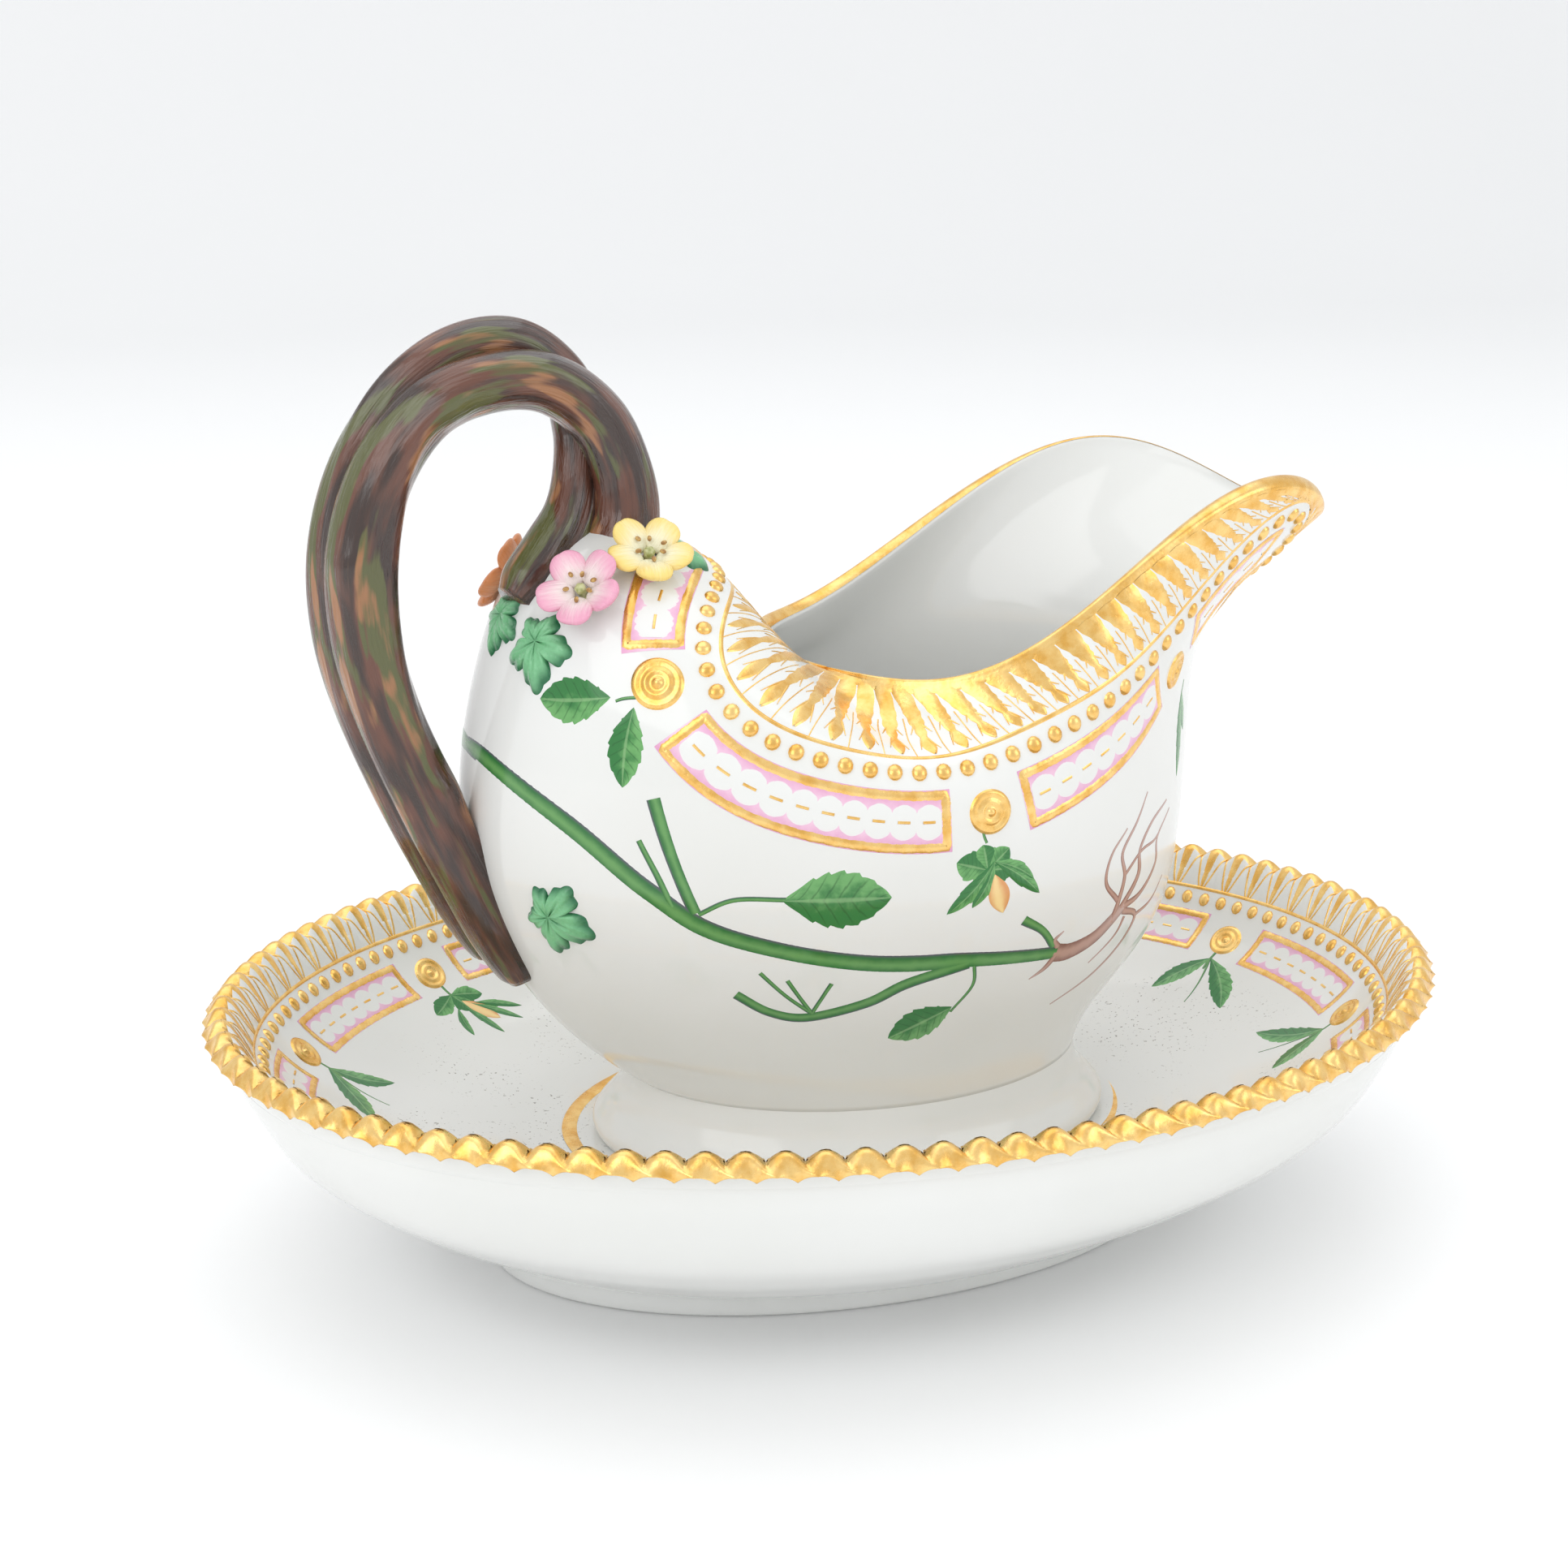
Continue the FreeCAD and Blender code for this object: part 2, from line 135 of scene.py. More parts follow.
def stacked(*parts):
    """Arrays of different shapes, spread over one grid and stacked along a new last axis."""
    return np.stack(np.broadcast_arrays(*parts), -1)


def smooth_path(points, count):
    """A Catmull-Rom curve through the points, sampled evenly by knot."""
    points = np.asarray(points, float)
    first, last = 2 * points[0] - points[1], 2 * points[-1] - points[-2]
    padded = np.concatenate([[first], points, [last]])
    spans = len(points) - 1
    t = np.linspace(0, spans, count)
    i = np.minimum(t.astype(int), spans - 1)
    f = (t - i)[:, None]
    a, b, c, d = (padded[i + k] for k in range(4))
    return 0.5 * (2 * b + (c - a) * f + (2 * a - 5 * b + 4 * c - d) * f**2
                  + (3 * b - a - 3 * c + d) * f**3)


def even_share(points, count):
    """Where a closed curve, given by points with the first repeated, is cut into equal lengths."""
    step = np.linalg.norm(np.diff(points, axis=0), axis=-1)
    run = np.concatenate([[0], np.cumsum(step)])
    return np.interp(np.linspace(0, run[-1], count), run, np.linspace(0, 1, len(points)))


def spline_weights(count, v):
    """Weights of count rings at v in a clamped uniform cubic B-spline."""
    spans = count - 3
    knots = np.concatenate([np.zeros(3), np.arange(spans + 1), np.full(3, spans)]) / spans
    v = np.clip(v, 0, 1 - 1e-9)
    weights = [((v >= a) & (v < b)).astype(float) for a, b in zip(knots[:-1], knots[1:])]
    for degree in range(1, 4):
        raised = []
        for i in range(len(knots) - 1 - degree):
            total = np.zeros_like(v)
            if knots[i + degree] > knots[i]:
                total = total + (v - knots[i]) / (knots[i + degree] - knots[i]) * weights[i]
            if knots[i + degree + 1] > knots[i + 1]:
                fall = (knots[i + degree + 1] - v) / (knots[i + degree + 1] - knots[i + 1])
                total = total + fall * weights[i + 1]
            raised.append(total)
        weights = raised
    return weights


class Skin:
    """A surface S(u, v), u once round in radians and v from 0 to 1, with a side that is shown."""

    facing = 1.0
    nudge = 1e-4

    def at(self, u, v):
        raise NotImplementedError

    def frame(self, u, v):
        """Point, its two derivatives and the shown normal."""
        e = self.nudge
        above, below = np.clip(v - e, 0, 1), np.clip(v + e, 0, 1)
        along = (self.at(u + e, v) - self.at(u - e, v)) / (2 * e)
        down = (self.at(u, below) - self.at(u, above)) / (below - above)[..., None]
        return self.at(u, v), along, down, unit(np.cross(along, down)) * self.facing

    def nearest(self, target, u, v, rounds=3):
        """(u, v) of the skin point nearest to target, by Newton steps from a start."""
        for _ in range(rounds):
            point, along, down, _ = self.frame(u, v)
            gap = target - point
            a, b, c = (along * along).sum(-1), (along * down).sum(-1), (down * down).sum(-1)
            e, f = (along * gap).sum(-1), (down * gap).sum(-1)
            det = a * c - b * b + 1e-9
            u = u + np.clip((c * e - b * f) / det, -0.3, 0.3)
            v = np.clip(v + (a * f - b * e) / det, 0, 1)
        return u, v

    def find(self, targets):
        """(u, v) of the skin point nearest to each target, from the best point of a coarse grid."""
        u, v = (x.ravel() for x in np.meshgrid(np.linspace(0, TURN, 145), np.linspace(0, 1, 81)))
        grid = self.at(u, v)
        best = np.array([((grid - target)**2).sum(-1).argmin() for target in targets])
        return self.nearest(targets, u[best], v[best], 5)


class BoatSkin(Skin):
    """The boat's outer skin: S(u, v) = sum of N_k(v) R_k(u) over its rings R, N cubic B-splines.

    A ring, with k = cos u, is x = side_x + (front_x - back_x)/2 k + ((front_x + back_x)/2 - side_x) k²,
    z likewise plus sheer (k - k³) + swell (k² - k⁴), and y = half_width sin u (1 - pinch max(k, 0)³).
    """

    facing = -1.0
    # back x, back z, side x, side z, half width, front x, front z, sheer, swell, pinch
    RINGS = [
        (-13.0, 118.5, 27.5, 129.5, 45.5, 98.0, 139.0, 25.0, 22.0, -0.45),
        (-17.5, 124.0, 23.5, 121.0, 48.0, 91.0, 133.0, 30.0, 7.0, -0.1),
        (-26.0, 139.0, 18.0, 112.0, 50.5, 83.0, 127.0, 27.0, -1.0, 0.3),
        (-43.5, 147.5, 10.0, 106.0, 53.0, 75.0, 118.0, 17.0, -1.5, 0.4),
        (-63.0, 141.5, 4.0, 99.0, 54.5, 72.5, 106.0, 6.0, 0.0, 0.2),
        (-71.0, 120.0, 1.0, 89.0, 55.0, 70.0, 93.0, 1.0, 0.0, 0.0),
        (-76.0, 96.0, 0.0, 76.0, 53.0, 69.5, 77.0, 0.0, 0.0, 0.0),
        (-74.0, 69.0, 0.0, 60.0, 47.5, 66.0, 60.0, 0.0, 0.0, 0.0),
        (-57.0, 45.0, 0.0, 45.0, 39.0, 51.0, 45.0, 0.0, 0.0, 0.0),
        (-44.0, 36.5, 3.0, 36.5, 35.5, 50.0, 36.5, 0.0, 0.0, 0.0),
    ]

    @staticmethod
    def ring(ring, u):
        bx, bz, sx, sz, half, fx, fz, sheer, swell, pinch = ring
        k = np.cos(u)
        x = sx + (fx - bx) / 2 * k + ((fx + bx) / 2 - sx) * k**2
        z = sz + (fz - bz) / 2 * k + ((fz + bz) / 2 - sz) * k**2
        z = z + sheer * (k - k**3) + swell * (k**2 - k**4)
        y = half * np.sin(u) * (1 - pinch * np.maximum(k, 0)**3)
        return np.stack([x, y, z], -1)

    def at(self, u, v):
        u, v = np.broadcast_arrays(np.asarray(u, float), np.asarray(v, float))
        weights = spline_weights(len(self.RINGS), v)
        return sum(w[..., None] * self.ring(r, u) for w, r in zip(weights, self.RINGS))


class OvalSkin(Skin):
    """Ovals strung along a profile: S(u, v) = (a(v) cos u + centre, b(v) sin u, z(v))."""

    nudge = 2e-3

    def __init__(self, profile, facing=1.0, centre=0.0):
        self.table = smooth_path(profile, 40 * len(profile))
        self.share = np.linspace(0, 1, len(self.table))
        self.facing, self.centre = facing, centre

    def at(self, u, v):
        u, v = np.broadcast_arrays(np.asarray(u, float), np.asarray(v, float))
        a, b, z = (np.interp(v, self.share, self.table[:, i]) for i in range(3))
        return np.stack([a * np.cos(u) + self.centre, b * np.sin(u), z], -1)

    def down(self, distance):
        """v at a distance down from the first oval, measured in the long section."""
        step = np.linalg.norm(np.diff(self.table[:, [0, 2]], axis=0), axis=-1)
        return np.interp(distance, np.concatenate([[0], np.cumsum(step)]), self.share)


class LobedRim(OvalSkin):
    """The stand's rim: ovals from inside, over the crest and down outside, drawn into lobes.

    With x across a lobe from -1/2 to 1/2 and c = cos(pi x), the crest falls by FALL (1 - c^0.8), the
    inside is fluted by FLUTE (c - 0.6), and outside the lobe hangs in a tooth, down by
    TOOTH (1 - |2 x|)^0.85 and leaning over by LEAN of a lobe.
    """

    FALL = 2.1
    FLUTE = 0.55
    TOOTH = 3.1
    LEAN = 0.30
    CREST_OVAL = (119.5, 91)
    nudge = 1e-4
    # half length, half width, height, share of: crest fall, flute, tooth
    PROFILE = np.array([
        (115.3, 87.8, 46.6, 0.0, 0.0, 0.0),
        (116.2, 88.6, 48.6, 0.0, 0.35, 0.0),
        (117.6, 89.6, 51.2, 0.15, 0.9, 0.0),
        (119.0, 90.7, 53.6, 0.55, 1.0, 0.0),
        (120.4, 91.9, 55.1, 1.0, 0.6, 0.0),
        (122.2, 93.6, 55.3, 1.0, 0.0, 0.05),
        (123.6, 94.9, 54.7, 0.9, -0.9, 0.40),
        (124.3, 95.6, 54.1, 0.9, -1.6, 1.0),
        (123.5, 94.8, 53.9, 0.9, -1.3, 0.95),
        (122.2, 93.6, 53.4, 0.6, 0.0, 0.30),
        (121.3, 92.9, 50.6, 0.0, 0.0, 0.0),
        (120.4, 92.2, 47.2, 0.0, 0.0, 0.0),
        (119.2, 91.2, 46.2, 0.0, 0.0, 0.0),
    ])

    def __init__(self, lobes):
        super().__init__(self.PROFILE)
        u = np.linspace(0, TURN, 4001)
        half_length, half_width = self.CREST_OVAL
        crest = np.stack([half_length * np.cos(u), half_width * np.sin(u)], -1)
        self.turn = even_share(crest, len(u)) * TURN
        self.lobes = lobes

    def at(self, u, v):
        """Here u is the share of the way round, times a full turn."""
        u, v = np.broadcast_arrays(np.asarray(u, float), np.asarray(v, float))
        a, b, z, fall, flute, tooth = (np.interp(v, self.share, self.table[:, i]) for i in range(6))
        share = u / TURN
        x = (share * self.lobes - self.LEAN * tooth) % 1.0 - 0.5
        c = np.cos(np.pi * x)
        point = 1 - np.abs(2 * x)
        out = self.FLUTE * flute * (c - 0.6)
        z = z - self.FALL * fall * (1 - c**0.8) - self.TOOTH * tooth * point**0.85
        turn = np.interp(share % 1.0, np.linspace(0, 1, len(self.turn)), self.turn)
        return np.stack([(a + out) * np.cos(turn), (b + out) * np.sin(turn), z], -1)


class Border:
    """Coordinates for the boat's painted border: share of the way round, millimetres outwards.

    The beads follow v = sum of COSINES_k cos(k u). From there the border is walked across the skin
    at right angles, so a distance across it is a true one. The rim end of a leaf leans by
    sum of LEAN_k sin(k u), because the rim is shorter than the row of beads.
    """

    COSINES = (0.205, -0.108, -0.075, 0.081, -0.016, 0.031, 0.031)
    LEAN = (0.45, -0.10, 0.08)
    CUTS = 505
    INWARD, OUTWARD = 4, 22
    DEPTHS = 17
    GOLD_LINE = -3.3

    def __init__(self, skin):
        self.skin = skin
        u = np.linspace(0, TURN, 1441)
        share = even_share(skin.at(u, self.beads(u)), self.CUTS)
        u = share * TURN
        v = self.beads(u)
        point, _, down, normal = skin.frame(u, v)
        along = np.roll(point[:-1], -1, 0) - np.roll(point[:-1], 1, 0)
        side = unit(np.cross(normal, np.concatenate([along, along[:1]])))
        side = side * np.sign((side * down).sum(-1))[:, None]
        inner = self.walk(u, v, -side, self.INWARD)
        outer = self.walk(u, v, side, self.OUTWARD)
        grid = inner[::-1] + [(u, v)] + outer
        self.u = np.stack([g[0] for g in grid], 1)
        self.v = np.stack([g[1] for g in grid], 1)
        line_u, line_v = self.at(np.linspace(0, 1, self.CUTS) % 1.0, self.GOLD_LINE)
        line_u[-1] += TURN * (line_u[-1] < 3)
        rim_u = line_u + sum(c * np.sin((k + 1) * line_u) for k, c in enumerate(self.LEAN))
        d = np.linspace(0, 1, self.DEPTHS)[None, :]
        start, end = skin.at(rim_u, 0 * rim_u), skin.at(line_u, line_v)
        straight = start[:, None] * (1 - d)[..., None] + end[:, None] * d[..., None]
        between_u = rim_u[:, None] * (1 - d) + line_u[:, None] * d
        self.leaf_u, self.leaf_v = skin.nearest(straight, between_u, line_v[:, None] * d, 5)
        self.leaf_u[:, 0], self.leaf_v[:, 0] = rim_u, 0
        middle = self.DEPTHS // 2
        self.even = even_share(skin.at(self.leaf_u[:, middle], self.leaf_v[:, middle]), self.CUTS)

    def beads(self, u):
        return sum(c * np.cos(k * u) for k, c in enumerate(self.COSINES))

    def walk(self, u, v, heading, steps):
        """Millimetre steps across the skin, straight on each time."""
        point = self.skin.at(u, v)
        row = []
        for _ in range(steps):
            u, v = self.skin.nearest(point + heading, u, v, 2)
            arrived, _, _, normal = self.skin.frame(u, v)
            heading = arrived - point
            heading = unit(heading - (heading * normal).sum(-1, keepdims=True) * normal)
            point = arrived
            row.append((u, v))
        return row

    def at(self, share, out):
        """(u, v) at a share of the way round and a distance outwards from the beads."""
        share, out = np.broadcast_arrays(np.asarray(share, float), np.asarray(out, float))
        column = np.clip(out + self.INWARD, 0, self.INWARD + self.OUTWARD - 1e-6)
        return self.read(self.u, self.v, share, column)

    def read(self, us, vs, share, j):
        """Values of the two grids between their points, share of the way round and j columns in."""
        i = (share % 1.0) * (self.CUTS - 1)
        i0, j0 = np.minimum(i.astype(int), self.CUTS - 2), j.astype(int)
        f, g = i - i0, j - j0

        def blend(grid):
            near = grid[i0, j0] * (1 - g) + grid[i0, j0 + 1] * g
            return near * (1 - f) + (grid[i0 + 1, j0] * (1 - g) + grid[i0 + 1, j0 + 1] * g) * f

        return blend(us), blend(vs)

    def leaf_at(self, share, depth):
        """(u, v) from the rim, depth 0, to the gold line, depth 1; shares are of the band's middle."""
        share, depth = np.broadcast_arrays(np.asarray(share, float), np.asarray(depth, float))
        share = np.interp(share % 1.0, np.linspace(0, 1, self.CUTS), self.even)
        column = np.clip(depth, 0, 1 - 1e-6) * (self.DEPTHS - 1)
        return self.read(self.leaf_u, self.leaf_v, share, column)


# ---- meshes --------------------------------------------------------------------------------------

def grid_faces(shape, wrap):
    """Quads of (count, rows, columns) grids, the columns joined up if wrap."""
    count, rows, columns = shape
    last = columns if wrap else columns - 1
    i = np.arange(rows - 1)[None, :, None]
    j = np.arange(last)[None, None, :]
    start = np.arange(count)[:, None, None] * rows * columns
    right = (j + 1) % columns
    quad = [start + i * columns + j, start + i * columns + right,
            start + (i + 1) * columns + right, start + (i + 1) * columns + j]
    return stacked(*quad).reshape(-1, 4)


class Surface:
    """Points of one or more grids, the paint coordinates carried on them, and their faces."""

    def __init__(self, points, place=None, wrap=False, poles=(), shown=None, finish=None):
        points = np.asarray(points, float)
        if points.ndim == 3:
            points = points[None]
        count, rows, columns, _ = points.shape
        if place is None:
            place = np.zeros_like(points)
        place = np.broadcast_to(np.asarray(place, float).reshape((-1,) + points.shape[1:]), points.shape)
        faces = grid_faces((count, rows, columns), wrap)
        self.faces = [faces]
        finish = np.zeros(rows - 1, int) if finish is None else np.asarray(finish)
        wide = columns if wrap else columns - 1
        self.finish = [np.broadcast_to(finish[None, :, None], (count, rows - 1, wide)).ravel()]
        vertices, places = [points.reshape(-1, 3)], [place.reshape(-1, 3)]
        total = count * rows * columns
        for end in poles:
            row = 0 if end == 0 else rows - 1
            edge = np.arange(count)[:, None] * rows * columns + row * columns + np.arange(columns)
            following = np.roll(edge, -1, 1)
            tip = np.broadcast_to(total + np.arange(count)[:, None], edge.shape)
            fan = (tip, following, edge) if end == 0 else (tip, edge, following)
            self.faces.append(np.stack(fan, -1).reshape(-1, 3))
            self.finish.append(np.full(count * columns, finish[0 if end == 0 else -1]))
            vertices.append(points[:, row].mean(1))
            places.append(place[:, row].mean(1))
            total += count
        self.points = np.concatenate(vertices)
        self.place = np.concatenate(places)
        self.shown = shown

    def turned_out(self):
        """The faces, turned over if they show the wrong side."""
        if self.shown is None:
            centre = self.points.mean(0)
            corners = [self.points[f] - centre for f in self.faces]
            bulk = sum((np.cross(c[:, 1], c[:, 2]) * c[:, 0]).sum() for c in corners)
            bulk += sum((np.cross(c[:, 2], c[:, 3]) * c[:, 0]).sum() for c in corners if c.shape[1] == 4)
        else:
            shown = np.asarray(self.shown, float).reshape(-1, 3)
            first = self.faces[0]
            normal = np.cross(self.points[first[:, 2]] - self.points[first[:, 0]],
                              self.points[first[:, 3]] - self.points[first[:, 1]])
            bulk = (normal * shown[first[:, 0]]).sum()
        return self.faces if bulk > 0 else [f[:, ::-1] for f in self.faces]


def make_piece(name, surfaces, body, finishes, replaces=()):
    """One mesh object from surfaces, in metres, riding on its body."""
    surfaces = surfaces if isinstance(surfaces, (list, tuple)) else [surfaces]
    points, places, loops, totals, finish = [], [], [], [], []
    start = 0
    for surface in surfaces:
        for faces, paint in zip(surface.turned_out(), surface.finish):
            loops.append((faces + start).ravel())
            totals.append(np.full(len(faces), faces.shape[1]))
            finish.append(paint)
        points.append(surface.points)
        places.append(surface.place)
        start += len(surface.points)
    points, places = np.concatenate(points) * METRES, np.concatenate(places)
    loops, totals, finish = np.concatenate(loops), np.concatenate(totals), np.concatenate(finish)
    if not np.isfinite(points).all():
        raise ValueError(name + " has a point that is not a number")
    mesh = bpy.data.meshes.new(name)
    mesh.vertices.add(len(points))
    mesh.vertices.foreach_set("co", points.ravel())
    mesh.loops.add(len(loops))
    mesh.loops.foreach_set("vertex_index", loops.astype(np.int32))
    mesh.polygons.add(len(totals))
    mesh.polygons.foreach_set("loop_start", (np.cumsum(totals) - totals).astype(np.int32))
    mesh.update(calc_edges=True)
    mesh.polygons.foreach_set("material_index", finish.astype(np.int32))
    mesh.polygons.foreach_set("use_smooth", np.ones(len(totals), bool))
    paint = mesh.attributes.new("place", "FLOAT_VECTOR", "POINT")
    paint.data.foreach_set("vector", places.astype(np.float32).ravel())
    for material in finishes if isinstance(finishes, (list, tuple)) else [finishes]:
        mesh.materials.append(finish_named(material))
    mesh.update()
    piece = bpy.data.objects.new(name, mesh)
    bpy.context.scene.collection.objects.link(piece)
    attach(piece, body)
    if replaces:
        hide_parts(*replaces)
    return piece


def gild(name, surfaces, body):
    """One piece of gold laid on the porcelain."""
    return make_piece(name, surfaces, body, "gold")


def ribbon(skin, u, v, half, height, closed=False, across=5):
    """A raised stripe along a line on the skin.

    P(i, c) = S(nearest to S_i + c half_i side_i) + normal (height (1 - c⁴) - 0.04 c⁴).
    Paint coordinates: share along, and c across.
    """
    u, v = np.atleast_2d(u), np.atleast_2d(v)
    point, _, _, normal = skin.frame(u, v)
    if closed:
        along = np.roll(point, -1, 1) - np.roll(point, 1, 1)
    else:
        along = np.gradient(point, axis=1)
    side = unit(np.cross(normal, along))
    c = np.linspace(-1, 1, across)
    half = np.broadcast_to(np.asarray(half, float), u.shape)
    target = point[:, :, None] + side[:, :, None] * (half[..., None] * c)[..., None]
    grown = [np.broadcast_to(x[..., None], x.shape + (across,)) for x in (u, v)]
    u2, v2 = skin.nearest(target, grown[0], grown[1], 3)
    on, _, _, up = skin.frame(u2, v2)
    rise = height * (1 - c**4) - SUNK * c**4
    points = on + up * rise[:, None]
    share = np.broadcast_to(np.linspace(0, 1, u.shape[1])[None, :, None], u2.shape)
    place = stacked(share, c, 0.0)
    if closed:
        points, place, up = (np.concatenate([x, x[:, :1]], 1) for x in (points, place, up))
    return Surface(points, place, shown=up)


def button(skin, u, v, radius, heights, around=12, flat=1.0, outline=None, heading=None):
    """A raised round thing on the skin, one for each (u, v).

    P(r, f) = S(nearest to S_0 + radius r (cos f e1 + flat sin f e2)) + normal h(r, f), where heights
    gives the rings r and h. e1 runs round the skin, or along heading.
    """
    u, v = np.atleast_1d(u).astype(float), np.atleast_1d(v).astype(float)
    rings, height = heights
    f = np.linspace(0, TURN, around, endpoint=False)
    point, along, _, normal = skin.frame(u, v)
    towards = along if heading is None else heading - (heading * normal).sum(-1, keepdims=True) * normal
    e1 = unit(towards)
    e2 = np.cross(normal, e1)
    reach = np.ones_like(f) if outline is None else outline(f)
    radius = np.reshape(radius, (-1, 1, 1))
    x = radius * (rings[:, None] * (reach * np.cos(f))[None])
    y = radius * (rings[:, None] * (reach * np.sin(f))[None]) * flat
    target = point[:, None, None] + e1[:, None, None] * x[..., None] + e2[:, None, None] * y[..., None]
    u2 = np.broadcast_to(u[:, None, None], target.shape[:-1])
    v2 = np.broadcast_to(v[:, None, None], target.shape[:-1])
    u2, v2 = skin.nearest(target, u2, v2, 4)
    on, _, _, up = skin.frame(u2, v2)
    rise = height(rings[:, None], f[None, :]) + 0 * f[None, :]
    place = stacked(rings[:, None], f[None, :] / TURN, 0.0)
    points = on + up * rise[None, ..., None]
    return Surface(points, np.broadcast_to(place, points.shape), wrap=True, poles=(0,), shown=up)


def patch(skin, u, v, rise, place):
    """A patch of the skin at given (u, v), lifted by rise along the normal."""
    point, _, _, up = skin.frame(u, v)
    lifted = point + up * np.broadcast_to(rise, u.shape)[..., None]
    return Surface(lifted, place, shown=up)


def painted_leaf(skin, base, tip, width, bend=0.0, teeth=7, rise=PAINT_RISE):
    """A leaf painted on the skin from base to tip, both given as (degrees round, v).

    With t from base to tip: half width = width (sin(pi t^1.1))^0.8 (0.92 + 0.16 saw(teeth t)) / 2,
    the midrib bent sideways by bend sin(pi t). Paint coordinates: t, and c across.
    """
    (u0, v0), (u1, v1) = [(np.radians(p[0]), p[1]) for p in (base, tip)]
    t = np.linspace(0, 1, 44)
    c = np.linspace(-1, 1, 9)
    start, _, _, normal = skin.frame(np.array([u0]), np.array([v0]))
    end = skin.at(np.array([u1]), np.array([v1]))
    way = end - start
    side = unit(np.cross(normal, way))
    saw = (t * teeth) % 1.0
    toothed = 0.92 + 0.16 * saw * (t > 0.15) * (t < 0.97)
    half = width / 2 * np.abs(np.sin(np.pi * t**1.1))**0.8 * toothed
    offset = half[:, None] * c[None, :] + bend * np.sin(np.pi * t)[:, None]
    target = start + way * t[:, None, None] + side * offset[..., None]
    u = u0 + (u1 - u0) * t[:, None] + 0 * c
    v = v0 + (v1 - v0) * t[:, None] + 0 * c
    u, v = skin.nearest(target, u, v, 5)
    lift = rise * (1 - c**4) - SUNK * c**4
    place = stacked(t[:, None], c[None, :], 0.0)
    return patch(skin, u, v, lift[None, :], place)


def stroke(skin, points, widths, count=60):
    """A brush stroke on the skin through points given as (degrees round, v), with half widths."""
    path = smooth_path([(np.radians(a), b) for a, b in points], count)
    half = np.interp(np.linspace(0, 1, count), np.linspace(0, 1, len(widths)), widths)
    return ribbon(skin, path[:, 0], path[:, 1], half, PAINT_RISE)


# ---- finishes ------------------------------------------------------------------------------------

class Wire:
    """A node's output that takes part in plain arithmetic."""

    def __init__(self, recipe, socket):
        self.recipe, self.socket = recipe, socket

    def __add__(self, other):
        return self.recipe.maths("ADD", self, other)

    def __sub__(self, other):
        return self.recipe.maths("SUBTRACT", self, other)

    def __rsub__(self, other):
        return self.recipe.maths("SUBTRACT", other, self)

    def __mul__(self, other):
        return self.recipe.maths("MULTIPLY", self, other)

    def __truediv__(self, other):
        return self.recipe.maths("DIVIDE", self, other)

    def __pow__(self, other):
        return self.recipe.maths("POWER", self, other)

    __radd__ = __add__
    __rmul__ = __mul__


class Recipe:
    """A material written as arithmetic on wires."""

    def __init__(self, name):
        self.material = bpy.data.materials.new(name)
        self.material.use_nodes = True
        self.tree = self.material.node_tree
        self.shader = self.tree.nodes["Principled BSDF"]

    def node(self, kind, settings=(), inputs=(), output=0):
        """Any node, its settings and its inputs by name or number."""
        made = self.tree.nodes.new(kind)
        for key, value in dict(settings).items():
            setattr(made, key, value)
        for key, value in dict(inputs).items():
            self.plug(made.inputs[key], value)
        return Wire(self, made.outputs[output])

    def plug(self, socket, value):
        if isinstance(value, Wire):
            self.tree.links.new(value.socket, socket)
        elif isinstance(value, tuple) and len(value) == 3 and socket.type == "RGBA":
            socket.default_value = value + (1.0,)
        else:
            socket.default_value = value

    def maths(self, operation, *values):
        return self.node("ShaderNodeMath", {"operation": operation}, dict(enumerate(values)))

    def step(self, value, low, high):
        """0 below low, 1 above high, smooth between."""
        return self.node("ShaderNodeMapRange", {"interpolation_type": "SMOOTHSTEP"},
                         {"Value": value, "From Min": low, "From Max": high})

    def blend(self, factor, first, second):
        """Colour mixed by a factor."""
        return self.node("ShaderNodeMix", {"data_type": "RGBA"}, {0: factor, 6: first, 7: second}, 2)

    def spot(self):
        """Object coordinates in millimetres."""
        here = self.node("ShaderNodeTexCoord", output=3)
        return self.node("ShaderNodeVectorMath", {"operation": "SCALE"}, {0: here, "Scale": 1 / METRES})

    def place(self):
        """The piece's own paint coordinates: vector, x, y, z."""
        vector = self.node("ShaderNodeAttribute", {"attribute_name": "place"}, output=1)
        parts = self.tree.nodes.new("ShaderNodeSeparateXYZ")
        self.plug(parts.inputs[0], vector)
        return [vector] + [Wire(self, out) for out in parts.outputs]

    def noise(self, where, scale, detail=3.0, roughness=0.5):
        return self.node("ShaderNodeTexNoise", {}, {"Vector": where, "Scale": scale, "Detail": detail,
                                                    "Roughness": roughness})

    def stretch(self, where, x, y, z):
        return self.node("ShaderNodeVectorMath", {"operation": "MULTIPLY"}, {0: where, 1: (x, y, z)})

    def bump(self, height, depth, strength=1.0):
        return self.node("ShaderNodeBump", {}, {"Height": height, "Distance": depth * METRES,
                                                "Strength": strength})

    def finish(self, **sockets):
        """Sets the shader's own sockets: a wire where it varies, a plain number where it doesn't."""
        for key, value in sockets.items():
            self.plug(self.shader.inputs[key.replace("_", " ")], value)
        return self.material

    def enamel(self, tone, cloud, least=0.10, **sockets):
        """A fired colour: glossy, a little duller where the cloud is thick."""
        return self.finish(Base_Color=tone, Roughness=cloud * 0.1 + least, IOR=ENAMEL, **sockets)


def rgb(setting):
    """A colour setting as plain numbers."""
    return tuple(setting)


def shade(setting, factor):
    """A darker or lighter version of a colour setting."""
    return tuple(min(1.0, c * factor) for c in setting)


# indices of refraction
CLAY_GLAZE, ENAMEL, BARK_GLAZE = 1.52, 1.5, 1.55

